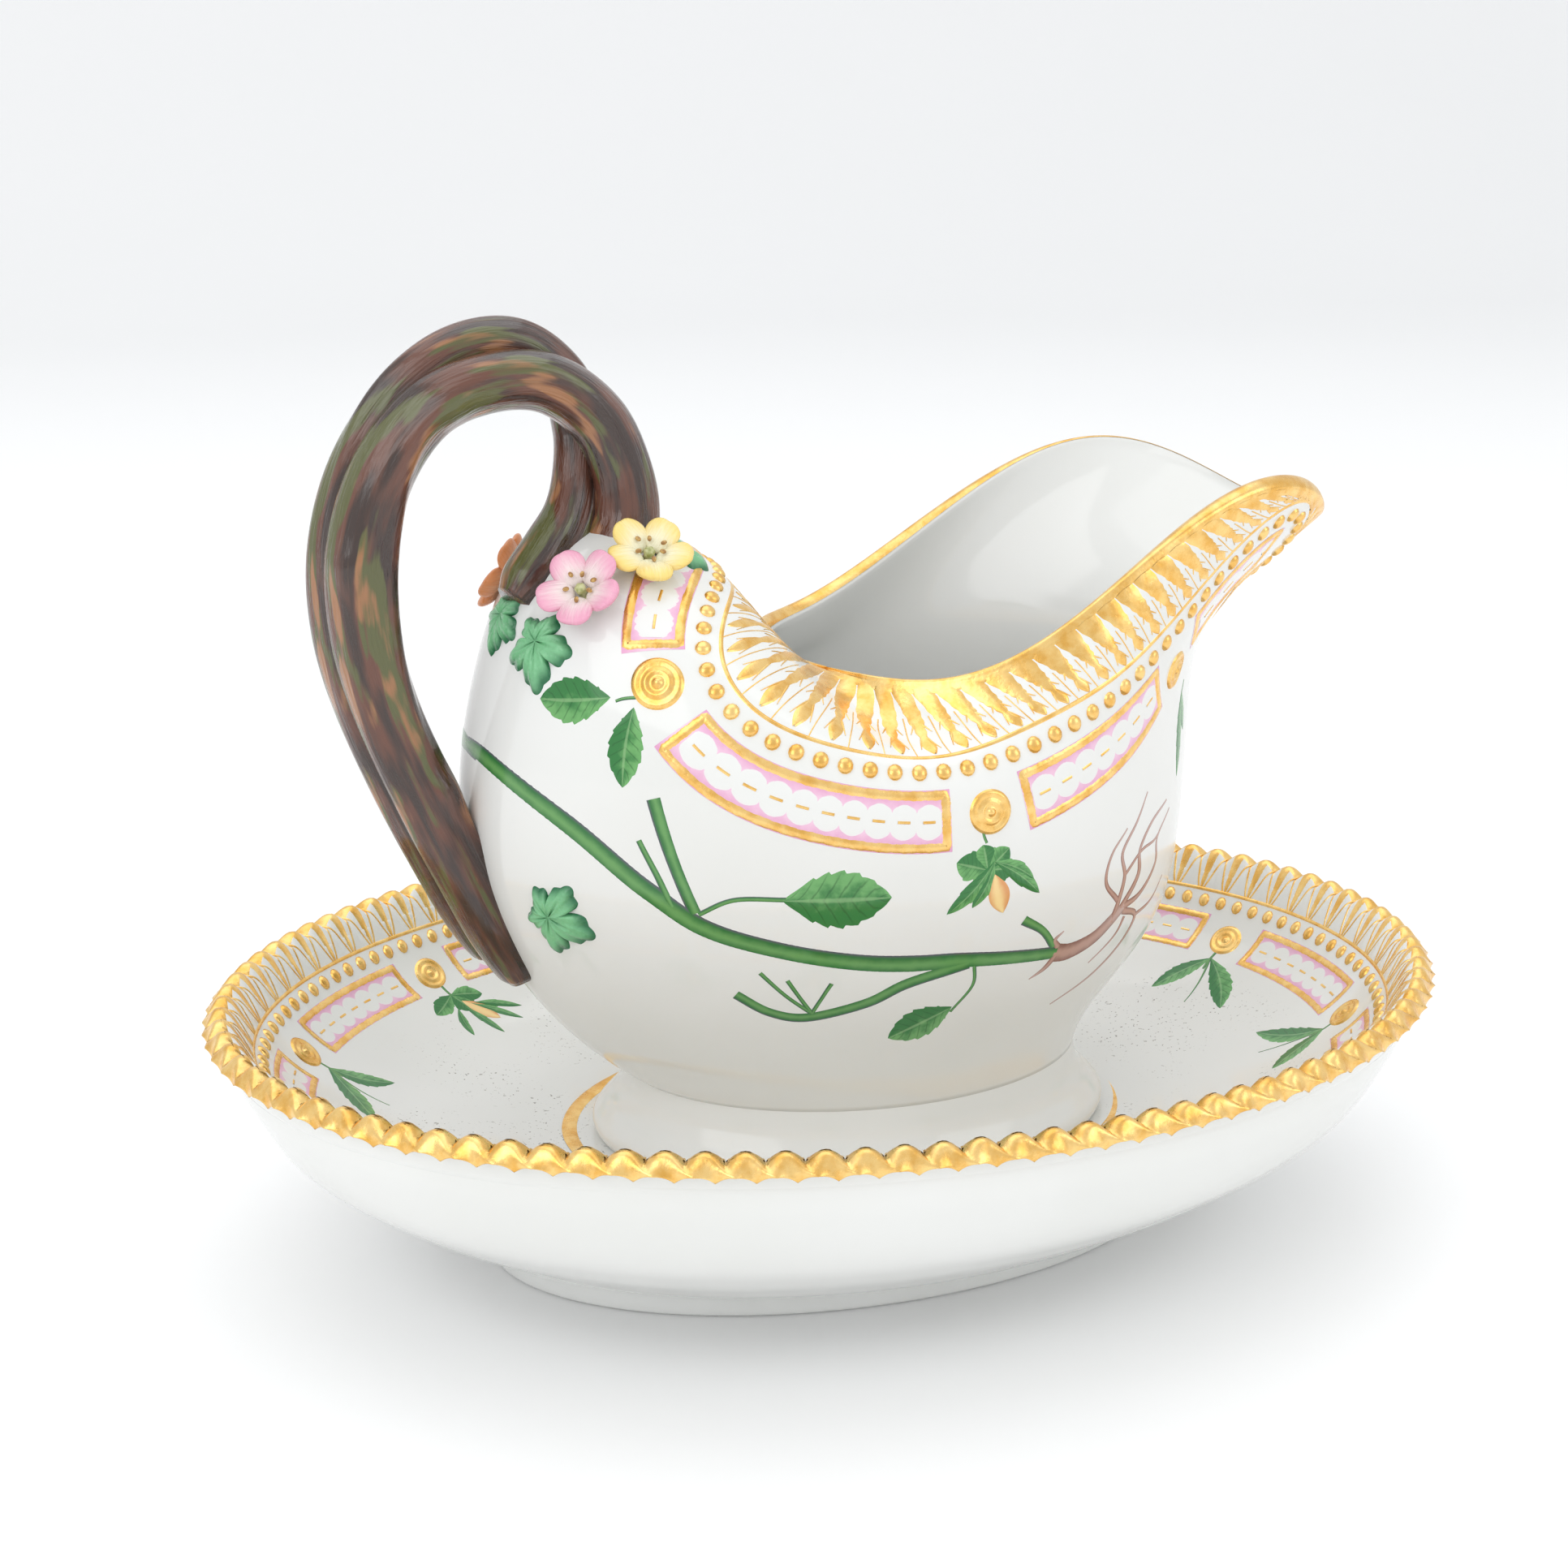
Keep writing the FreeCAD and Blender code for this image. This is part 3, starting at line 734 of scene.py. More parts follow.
CLOUDED_WHITE = (0.77, 0.775, 0.75)
SPECK = (0.20, 0.18, 0.15)
THIN_PINK = (0.85, 0.58, 0.72)
TINGED_WHITE = (0.86, 0.70, 0.78)
LIT_GREEN = (0.15, 0.40, 0.13)
MIDRIB_GREEN = (0.30, 0.52, 0.24)
STEM_GREEN = (0.13, 0.33, 0.10)
STEM_VIOLET = (0.10, 0.085, 0.13)
ROOT_MIDDLE = (0.50, 0.30, 0.24)
ROOT_TIP = (0.60, 0.48, 0.46)
BUD_YELLOW = (0.90, 0.66, 0.30)
BUD_ORANGE = (0.72, 0.33, 0.12)
POOLED_GREEN = (0.015, 0.14, 0.055)
# a relief leaf's ridges: glaze laid thin, and a painted highlight there
THIN_GLAZE_AND_HIGHLIGHT_GREEN = (0.20, 0.52, 0.26)
UMBER = (0.13, 0.045, 0.025)
WORN_BARK = (0.20, 0.13, 0.07)
HEART_PALE = (0.55, 0.55, 0.28)
HEART_OLIVE = (0.30, 0.32, 0.10)
STAMEN_BROWN = (0.34, 0.17, 0.05)
STAMEN_OCHRE = (0.60, 0.38, 0.12)


def porcelain(recipe, floor_specks=False):
    """White clay under a clear glaze, very slightly clouded; the stand's floor is speckled."""
    spot = recipe.spot()
    cloud = recipe.noise(spot, 0.018, 2.0)
    white = recipe.blend(recipe.step(cloud, 0.35, 0.65), rgb(colours().porcelain), CLOUDED_WHITE)
    if floor_specks:
        grain = recipe.step(recipe.noise(spot, 1.35, 2.0), 0.64, 0.70)
        patchy = recipe.step(recipe.noise(spot, 0.045, 2.0), 0.42, 0.62)
        parts = recipe.tree.nodes.new("ShaderNodeSeparateXYZ")
        recipe.plug(parts.inputs[0], spot)
        low = 1 - recipe.step(Wire(recipe, parts.outputs[2]), 29.0, 35.0)
        inside = recipe.place()[1]
        white = recipe.blend(grain * patchy * low * inside * 0.85, white, SPECK)
    rough = recipe.noise(spot, 0.11, 3.0) * 0.07 + 0.055
    ripple = recipe.bump(recipe.noise(spot, 0.06, 1.0), 0.12)
    return recipe.finish(Base_Color=white, Roughness=rough, Normal=ripple, IOR=CLAY_GLAZE,
                         Subsurface_Weight=0.0)


def gold(recipe):
    """Brushed-on gold: paler where it is laid thin, its surface marked by the brush."""
    spot = recipe.spot()
    drift = recipe.noise(spot, 0.30, 3.0, 0.5)
    fine = recipe.noise(spot, 1.6, 2.0)
    thin = recipe.step(drift + fine * 0.2, 0.35, 0.80)
    tone = recipe.blend(thin, rgb(colours().gold), rgb(colours().pale_gold))
    rough = recipe.noise(spot, 0.7, 2.0) * 0.16 + 0.20
    return recipe.finish(Base_Color=tone, Metallic=1.0, Roughness=rough,
                         Normal=recipe.bump(drift + fine * 0.5, 0.07))


def pink_ground(recipe):
    """Pink enamel, brushed on thinner in the middle."""
    across = recipe.place()[2]
    spot = recipe.spot()
    edge = recipe.step(recipe.maths("ABSOLUTE", across) + recipe.noise(spot, 0.6, 3.0) * 0.5, 0.45, 1.2)
    tone = recipe.blend(edge, THIN_PINK, rgb(colours().pink))
    return recipe.enamel(tone, recipe.noise(spot, 0.3))


def white_chain(recipe):
    """The white chain left on the pink, its edge tinged."""
    across = recipe.place()[2]
    spot = recipe.spot()
    edge = recipe.step(recipe.maths("ABSOLUTE", across) + recipe.noise(spot, 0.9) * 0.3, 0.85, 1.25)
    tone = recipe.blend(edge, rgb(colours().porcelain), TINGED_WHITE)
    return recipe.enamel(tone, recipe.noise(spot, 0.3))


def leaf_paint(recipe):
    """Painted leaf: a pale midrib, side veins, one side darker, a dark edge."""
    _, t, c, _ = recipe.place()
    spot = recipe.spot()
    side = recipe.maths("ABSOLUTE", c)
    vein = recipe.maths("PINGPONG", t * 8.0 - side * 1.6, 0.5)
    vein = 1 - recipe.step(vein + recipe.noise(spot, 0.8) * 0.08, 0.07, 0.16)
    brush = recipe.noise(spot, 0.5, 3.0)
    base = recipe.blend(recipe.step(c * 0.5 + brush, 0.35, 0.9), rgb(colours().green), LIT_GREEN)
    veined = recipe.blend(vein * (1 - recipe.step(side, 0.5, 0.9)) * 0.5, base, shade(colours().green, 0.45))
    ribbed = recipe.blend((1 - recipe.step(side, 0.03, 0.10)) * 0.5, veined, MIDRIB_GREEN)
    edged = recipe.blend(recipe.step(side, 0.80, 0.97) * 0.7, ribbed, shade(colours().green, 0.40))
    return recipe.enamel(edged, brush)


def stem_paint(recipe):
    """Painted stem: light along one side, dark with violet along the other."""
    c = recipe.place()[2]
    brush = recipe.noise(recipe.spot(), 0.35, 3.0)
    away = recipe.step(recipe.maths("ABSOLUTE", c + 0.15) + brush * 0.5, 0.25, 0.95)
    base = recipe.blend(away, STEM_GREEN, shade(colours().green, 0.85))
    edged = recipe.blend(recipe.step(c, 0.42, 0.80), base, STEM_VIOLET)
    other = recipe.blend(1 - recipe.step(c, -0.95, -0.65), edged, shade(colours().green, 0.40))
    return recipe.enamel(other, brush)


def root_paint(recipe):
    """Painted roots: red brown, lighter in the middle of the stroke and thinner towards the tips."""
    _, t, c, _ = recipe.place()
    brush = recipe.noise(recipe.spot(), 0.6, 3.0)
    edge = recipe.step(recipe.maths("ABSOLUTE", c) + brush * 0.5, 0.35, 1.1)
    base = recipe.blend(edge, ROOT_MIDDLE, rgb(colours().root))
    pale = recipe.blend(recipe.step(t, 0.3, 1.1) * 0.55, base, ROOT_TIP)
    return recipe.enamel(pale, brush)


def bud_paint(recipe):
    """An orange bud, yellow down its middle."""
    c = recipe.place()[2]
    brush = recipe.noise(recipe.spot(), 0.6, 3.0)
    edge = recipe.step(recipe.maths("ABSOLUTE", c + 0.2) + brush * 0.4, 0.3, 1.1)
    return recipe.enamel(recipe.blend(edge, BUD_YELLOW, BUD_ORANGE), brush)


def petal_glaze(recipe, setting, inner):
    """Petal enamel, pale by the heart, full colour at the edge, streaked lengthways."""
    vector, t, c, _ = recipe.place()
    streak = recipe.noise(recipe.stretch(vector, 2.0, 9.0, 3.7), 1.0, 3.0)
    edge = recipe.step(t + recipe.maths("ABSOLUTE", c) * 0.35 + streak * 0.45, 0.45, 1.35)
    tone = recipe.blend(edge, inner, rgb(setting))
    return recipe.enamel(tone, recipe.noise(recipe.spot(), 0.4), 0.09, Normal=recipe.bump(streak, 0.25))


def relief_leaf_glaze(recipe):
    """Modelled leaf: green glaze, pooled dark in the hollows; pale on the ridges, thin glaze with a painted
    highlight.
    """
    rise = recipe.place()[3]
    spot = recipe.spot()
    pool = recipe.noise(spot, 0.28, 4.0)
    # higher is paler: on the ridges thin glaze and a painted highlight together, in the hollows pooled glaze
    tone = recipe.blend(recipe.step(rise + pool * 0.6, 0.30, 1.15), POOLED_GREEN, THIN_GLAZE_AND_HIGHLIGHT_GREEN)
    return recipe.enamel(tone, pool, 0.06, Normal=recipe.bump(recipe.noise(spot, 0.9, 3.0), 0.3))


def bark_glaze(recipe):
    """Handle glaze: patches of umber, olive and rust, drawn out along the branch."""
    vector = recipe.place()[0]
    tan_patch = recipe.noise(recipe.stretch(vector, 0.9, 0.9, 0.040), 1.35, 2.0, 0.5)
    olive_patch = recipe.noise(recipe.stretch(vector, 1.0, 1.0, 0.034), 1.5, 2.0)
    brown_patch = recipe.noise(recipe.stretch(vector, 1.3, 1.3, 0.050), 1.1, 2.0)
    fine = recipe.noise(recipe.stretch(vector, 4.0, 4.0, 0.06), 1.8, 3.0, 0.55)
    brown = recipe.blend(recipe.step(brown_patch + fine * 0.15, 0.46, 0.66), rgb(colours().bark), UMBER)
    base = recipe.blend(recipe.step(olive_patch + fine * 0.12, 0.58, 0.66), brown, rgb(colours().moss))
    warm = recipe.blend(recipe.step(tan_patch + fine * 0.16, 0.66, 0.75), base, rgb(colours().rust))
    worn = recipe.blend(recipe.step(fine, 0.66, 0.78) * 0.25, warm, WORN_BARK)
    return recipe.finish(Base_Color=worn, Roughness=fine * 0.10 + 0.05, IOR=BARK_GLAZE, Coat_Weight=0.4,
                         Normal=recipe.bump(fine + brown_patch, 0.30))


def heart_glaze(recipe):
    """A blossom's heart: greenish white."""
    spot = recipe.spot()
    tone = recipe.blend(recipe.step(recipe.noise(spot, 0.9, 3.0), 0.4, 0.65), HEART_PALE, HEART_OLIVE)
    return recipe.enamel(tone, recipe.noise(spot, 0.4))


def stamen_glaze(recipe):
    """Ochre dots round the heart."""
    spot = recipe.spot()
    tone = recipe.blend(recipe.step(recipe.noise(spot, 1.4, 3.0), 0.4, 0.65), STAMEN_BROWN, STAMEN_OCHRE)
    return recipe.enamel(tone, recipe.noise(spot, 0.4), 0.15)


def studio_floor(recipe):
    """Pale paper."""
    spot = recipe.spot()
    tone = recipe.blend(recipe.noise(spot, 0.002, 2.0), rgb(colours().floor), shade(colours().floor, 0.985))
    return recipe.finish(Base_Color=tone, Roughness=recipe.noise(spot, 0.01) * 0.1 + 0.55)


RECIPES = {
    "porcelain": porcelain,
    "stand_porcelain": lambda recipe: porcelain(recipe, True),
    "gold": gold,
    "pink_ground": pink_ground,
    "white_chain": white_chain,
    "leaf_paint": leaf_paint,
    "stem_paint": stem_paint,
    "root_paint": root_paint,
    "bud_paint": bud_paint,
    "pink_petals": lambda recipe: petal_glaze(recipe, colours().petal_pink, (0.88, 0.76, 0.74)),
    "yellow_petals": lambda recipe: petal_glaze(recipe, colours().petal_yellow, (0.90, 0.86, 0.62)),
    "orange_petals": lambda recipe: petal_glaze(recipe, colours().petal_orange, (0.90, 0.60, 0.40)),
    "relief_leaf": relief_leaf_glaze,
    "bark": bark_glaze,
    "heart": heart_glaze,
    "stamen": stamen_glaze,
    "studio_floor": studio_floor,
}


def finish_named(name):
    """The material of that name, made the first time it is asked for."""
    made = bpy.data.materials.get(name)
    return made if made else RECIPES[name](Recipe(name))


# ---- the shapes shared by several pieces ---------------------------------------------------------

STAND_OUTSIDE = [(73.0, 46.0, 8.0), (76.0, 49.5, 8.4), (81.0, 56.0, 10.0), (90.5, 65.0, 15.6),
                 (100.45, 74.26, 22.0), (111.5, 84.6, 30.8), (118.2, 90.7, 41.8), (120.6, 92.6, 48.6)]
STAND_INSIDE = [(119.5, 91.0, 55.0), (117.3, 89.3, 50.4), (114.7, 87.4, 46.0), (106.4, 81.0, 37.0),
                (90.8, 68.25, 28.5), (68.0, 52.5, 23.6), (59.5, 45.0, 22.3), (50.0, 37.0, 22.0)]
STAND_FOOT = [(66.6, 38.6, 1.2), (67.6, 39.6, 0.2), (69.5, 41.5, 0.0), (71.4, 43.4, 0.2),
              (72.0, 44.0, 1.2), (71.4, 43.4, 4.0), (71.2, 43.4, 6.5), (73.0, 46.0, 8.0)]
BOAT_FOOT = [(47.0, 35.5, 37.2), (47.0, 35.5, 36.0), (47.6, 36.0, 32.5), (49.2, 37.2, 29.6),
             (51.3, 38.6, 27.5), (53.0, 40.0, 25.6), (53.4, 40.4, 24.0), (52.8, 39.8, 22.6),
             (52.0, 39.0, 22.1), (49.8, 36.8, 22.1), (48.8, 35.9, 23.0), (48.0, 35.0, 26.0),
             (42.0, 30.5, 33.5)]


def boat():
    return BoatSkin()


def stand_inside():
    return OvalSkin(STAND_INSIDE, facing=1.0)


def oval_rows(profile, columns, samples, centre=0.0):
    """Rows of a turned oval surface along a profile of (half length, half width, height)."""
    table = smooth_path(profile, samples)
    u = np.linspace(0, TURN, columns, endpoint=False)
    a, b, z = table.T[..., None]
    return stacked(a * np.cos(u) + centre, b * np.sin(u), z)


def stand_share(skin, share, distance):
    """(u, v) inside the stand, at a share of the way round and a distance down from the rim."""
    u = np.linspace(0, TURN, 1441)
    table = even_share(np.stack([106.0 * np.cos(u), 80.5 * np.sin(u)], -1), 1441) * TURN
    share = np.asarray(share, float)
    whole = np.floor(share)
    turn = np.interp(share - whole, np.linspace(0, 1, 1441), table) + whole * TURN
    turn, distance = np.broadcast_arrays(turn, np.asarray(distance, float))
    return turn, skin.down(distance)


ROSETTE_RINGS = np.array([0.08, 0.16, 0.24, 0.33, 0.42, 0.50, 0.58, 0.68, 0.78, 0.88, 0.95, 1.0])


def rosette_height(scale):
    """h(r): a boss, a groove, a ring, a groove and a rolled edge."""
    def height(r, f):
        boss = 1.15 * np.exp(-(r / 0.16)**2)
        ring = 0.60 * np.exp(-((r - 0.45) / 0.11)**2)
        edge = 0.55 * np.exp(-((r - 0.85) / 0.12)**2)
        return scale * (boss + ring + edge + 0.22) * (1 - r**10) - 0.04 * r**10
    return ROSETTE_RINGS, height


BEAD_RINGS = np.array([0.30, 0.65, 0.9, 1.0])


def bead_height(rise):
    """h(r) = rise sqrt(1 - r²), its foot just under the glaze."""
    return BEAD_RINGS, lambda r, f: rise * np.sqrt(np.maximum(1 - r**2, 0)) - 0.05 * r**8


def panel(where, skin, start, end, near, far, frame_width, chain_step):
    """A pink panel between two shares and two distances: ground, chain, dashes and frame.

    where(share, distance) gives (u, v). The chain's half width is 1.35 (0.26 + 0.24 |sin(pi n s)|^0.6)
    of the panel's half width, with n links, and a dash of gold lies in each link. The frame is a
    ribbon round the four sides.
    """
    rows, columns = 64, 13
    s = np.linspace(start, end, rows)
    c = np.linspace(-1, 1, columns)
    middle, half = (near + far) / 2, (far - near) / 2
    u, v = where(s[:, None] + 0 * c, middle + half * c[None, :] + 0 * s[:, None])
    place = stacked(s[:, None] * 100, c[None, :], 0.0)
    ground = patch(skin, u, v, 0.03, place)
    wide = np.linalg.norm(np.diff(skin.at(*where(s, middle + 0 * s)), axis=0), axis=-1).sum()
    links = max(2, int(round((wide - 2 * frame_width) / chain_step)))
    t = np.linspace(0, 1, 24 * links + 1)
    inset = frame_width / wide
    s2 = start + (end - start) * (inset + (1 - 2 * inset) * t)
    spread = 0.26 + 0.24 * np.abs(np.sin(np.pi * links * t))**0.6
    c2 = np.linspace(-1, 1, 7)
    out = middle + half * 1.35 * spread[:, None] * c2[None, :]
    u, v = where(s2[:, None] + 0 * c2, out)
    place = stacked(t[:, None] * links, c2[None, :], 0.0)
    chain = patch(skin, u, v, 0.06 - 0.05 * c2[None, :]**6, place)
    centre = start + (end - start) * (inset + (1 - 2 * inset) * (np.arange(links) + 0.5) / links)
    reach = 0.24 * chain_step / wide * (end - start)
    dash = centre[:, None] + np.linspace(-1, 1, 6)[None, :] * reach
    dashes = ribbon(skin, *where(dash, middle + 0 * dash), 0.36, 0.14)
    e = np.linspace(0, 1, 40, endpoint=False)
    long_e = np.linspace(0, 1, 120, endpoint=False)
    w = frame_width / 2
    lo, hi = near + w, far - w
    a, b = start + w / wide * (end - start), end - w / wide * (end - start)
    loop_s = np.concatenate([a + (b - a) * long_e, b + 0 * e, b + (a - b) * long_e, a + 0 * e])
    loop_d = np.concatenate([lo + 0 * long_e, lo + (hi - lo) * e, hi + 0 * long_e, hi + (lo - hi) * e])
    wobble = 0.06 * np.sin(np.arange(len(loop_s)) * 0.61) + 0.05 * np.sin(np.arange(len(loop_s)) * 1.7)
    border = ribbon(skin, *where(loop_s, loop_d), w + wobble, 0.22, closed=True)
    return ground, chain, dashes, border


def make_panels(where, skin, spans, near, far, frame_width, chain_step, body):
    """All the panels of one border: a piece each for the grounds, chains, dashes and frames."""
    panels = [panel(where, skin, start, end, near, far, frame_width, chain_step) for start, end in spans]
    ground, chain, dashes, frames = (list(part) for part in zip(*panels))
    make_piece(body + "_panel_ground", ground, body, "pink_ground")
    make_piece(body + "_panel_chain", chain, body, "white_chain")
    gild(body + "_panel_dashes", dashes, body)
    gild(body + "_panel_frames", frames, body)


# ---- the stand -----------------------------------------------------------------------------------

STAND_PANELS = 12


def build_stand_body():
    """The dish: under its floor, round the foot, up the outside, over the edge and down inside."""
    columns = 288
    under = oval_rows([(2.0, 1.2, 14.0), (30.0, 17.0, 14.0), (56.0, 30.5, 14.0), (60.5, 33.5, 13.2),
                       (64.5, 36.8, 8.0), (66.2, 38.2, 3.5), (66.6, 38.6, 1.2)], columns, 30)
    foot = oval_rows(STAND_FOOT, columns, 36)[1:]
    outside = oval_rows(STAND_OUTSIDE, columns, 40)[1:]
    top = oval_rows([(120.6, 92.6, 48.6), (120.0, 91.9, 50.6), (118.6, 90.6, 51.0), (117.4, 89.4, 50.6)],
                    columns, 8)[1:]
    inside = oval_rows(STAND_INSIDE[1:] + [(30.0, 22.0, 22.0), (2.0, 1.5, 22.0)], columns, 90)[1:]
    rows = np.concatenate([under, foot, outside, top, inside])
    holds = np.zeros_like(rows)
    holds[-len(inside):, :, 0] = 1.0
    body = Surface(rows, holds, wrap=True, poles=(0, 1))
    make_piece("stand_body", body, "stand", "stand_porcelain", ["stand_dish"])


def build_stand_rim():
    """The lobed rim, gilded on its crest and teeth, with a gold leaf between two arms in each lobe."""
    rim = LobedRim(sizes().lobes)
    columns = sizes().lobes * 16
    u = np.linspace(0, TURN, columns, endpoint=False)
    v = np.concatenate([np.linspace(0, 0.32, 10), np.linspace(0.35, 0.75, 22), np.linspace(0.78, 1, 7)])
    points = rim.at(u[None, :], v[:, None])
    points = np.concatenate([points, points[:1]])
    gilt = np.zeros(len(points) - 1, int)
    gilt[9:27] = 1
    band = Surface(points, wrap=True, finish=gilt)
    make_piece("stand_lobed_rim", band, "stand", ["porcelain", "gold"])
    rim.facing = side_shown(rim, 0.15, inward=True)
    lobe = (np.arange(sizes().lobes) + 0.5) / sizes().lobes * TURN
    step = TURN / sizes().lobes
    d = np.linspace(0.03, 0.36, 14)
    leaf_half = 0.72 * (0.40 + 1.75 * np.linspace(0, 1, 14)**0.8)
    leaves = ribbon(rim, lobe[:, None] + 0 * d, 0 * lobe[:, None] + d, leaf_half[None, :], 0.10)
    arms = []
    for side in (-1, 1):
        bow = side * (0.46 - 0.36 * np.linspace(1, 0, 14)**1.6)
        arms.append(ribbon(rim, lobe[:, None] + bow * step, 0 * lobe[:, None] + d, 0.26, 0.12))
    gild("stand_rim_leaves", [leaves] + arms, "stand")


def side_shown(skin, v, inward):
    """+1 or -1, so that the skin's shown side is the one towards the axis, or away from it."""
    u, v = np.array([0.013]), np.array([v])
    point, along, down, _ = skin.frame(u, v)
    normal = np.cross(along, down)[0]
    towards = normal[0] * point[0, 0] < 0
    return 1.0 if towards == inward else -1.0


def build_stand_border():
    """The gold line, beads, panels and rosettes inside the stand."""
    skin = stand_inside()

    def where(share, distance):
        return stand_share(skin, share, distance)

    s = np.linspace(0, 1, 480, endpoint=False)
    line = ribbon(skin, *where(s, 8.9 + 0 * s), mm(sizes().line) / 2, 0.22, closed=True)
    gild("stand_gold_line", line, "stand")
    count = sizes().stand_beads
    beads = button(skin, *where((np.arange(count) + 0.5) / count, 11.6 + np.zeros(count)),
                   mm(sizes().stand_bead) * 0.80, bead_height(0.75), flat=1.3, around=10)
    gild("stand_beads", beads, "stand")
    spans = [((k - 0.36) / STAND_PANELS, (k + 0.36) / STAND_PANELS) for k in range(STAND_PANELS)]
    make_panels(where, skin, spans, 14.6, 25.0, 1.7, 4.6, "stand")
    share = (np.arange(STAND_PANELS) + 0.5) / STAND_PANELS
    rosettes = button(skin, *where(share, 20.0 + 0 * share), mm(sizes().stand_rosette), rosette_height(0.7),
                      around=36)
    gild("stand_rosettes", rosettes, "stand")


def on_stand(skin, share, distance):
    """A point inside the stand as (degrees round, v)."""
    u, v = stand_share(skin, share, distance)
    return float(np.degrees(u)), float(v)


def build_stand_sprigs():
    """A sprig between each two panels: four of two large leaves, the others with an orange bud."""
    skin = stand_inside()
    leaves, stems, buds = [], [], []
    width = 1 / STAND_PANELS
    for k in range(STAND_PANELS):
        share = (k + 0.5) * width

        def spot(aside, distance):
            return on_stand(skin, share + aside * width, distance)

        mirror = 1 if k % 2 else -1
        stalk = [spot(0, 23.5), spot(0, 26.5), spot(0.01 * mirror, 29.0)]
        stems.append(stroke(skin, stalk, [0.45, 0.4], count=12))
        if k in (0, 5, 6, 11):
            leaves.append(painted_leaf(skin, spot(0, 25.5), spot(0.32 * mirror, 37.5), 6.4, 1.0))
            leaves.append(painted_leaf(skin, spot(0, 25.5), spot(-0.14 * mirror, 38.5), 5.4, -0.8))
            stems.append(stroke(skin, [spot(0, 26), spot(0.05 * mirror, 32), spot(0.11 * mirror, 40)],
                                [0.45, 0.15], count=14))
            continue
        for aside, distance, wide in ((-0.17, 30.5, 5.6), (0.02, 33.0, 6.0), (0.15, 29.5, 5.2)):
            tip = spot(aside * mirror, distance)
            leaves.append(painted_leaf(skin, spot(0, 27), tip, wide, 0.2, teeth=3))
        bud = painted_leaf(skin, spot(0.02 * mirror, 29.5), spot(0.10 * mirror, 38), 4.8, 0.3, 0.01, 0.09)
        buds.append(bud)
        for aside, distance in ((-0.14, 40), (0.01, 43), (0.20, 40.5), (0.27, 36.5)):
            base, tip = spot(aside * 0.25 * mirror, 31), spot(aside * mirror, distance)
            leaves.append(painted_leaf(skin, base, tip, 2.3, 0.4 * np.sign(aside), teeth=2, rise=0.11))
    make_piece("stand_sprig_leaves", leaves, "stand", "leaf_paint")
    make_piece("stand_sprig_stems", stems, "stand", "stem_paint")
    make_piece("stand_sprig_buds", buds, "stand", "bud_paint")


def build_stand_floor_ring():
    """A gold ring on the stand's floor, an oval band round the boat's foot."""
    half_length, half_width, centre = 57.6, 43.4, 2.4
    u = np.linspace(0, TURN, 240, endpoint=False)
    c = np.linspace(-1, 1, 7)
    half = mm(sizes().ring) / 2
    a = half_length + half * c
    b = half_width + half * 0.9 * c
    base = stand_inside()
    level = np.interp(a, base.table[::-1, 0], base.table[::-1, 2])
    z = level + 0.20 * (1 - c**4) - 0.05
    points = stacked(a[:, None] * np.cos(u) + centre, b[:, None] * np.sin(u), z[:, None])
    up = np.broadcast_to((0.0, 0.0, 1.0), points.shape)
    gild("stand_floor_ring", Surface(points, wrap=True, shown=up), "stand")


# ---- the boat ------------------------------------------------------------------------------------

# each panel's two ends, as shares of the way round from the lip
BOAT_PANELS = [(0.414, 0.586), (0.609, 0.706), (0.734, 0.8185), (0.294, 0.391), (0.1815, 0.266),
               (0.848, 0.918), (0.082, 0.152), (0.957, 1.043)]


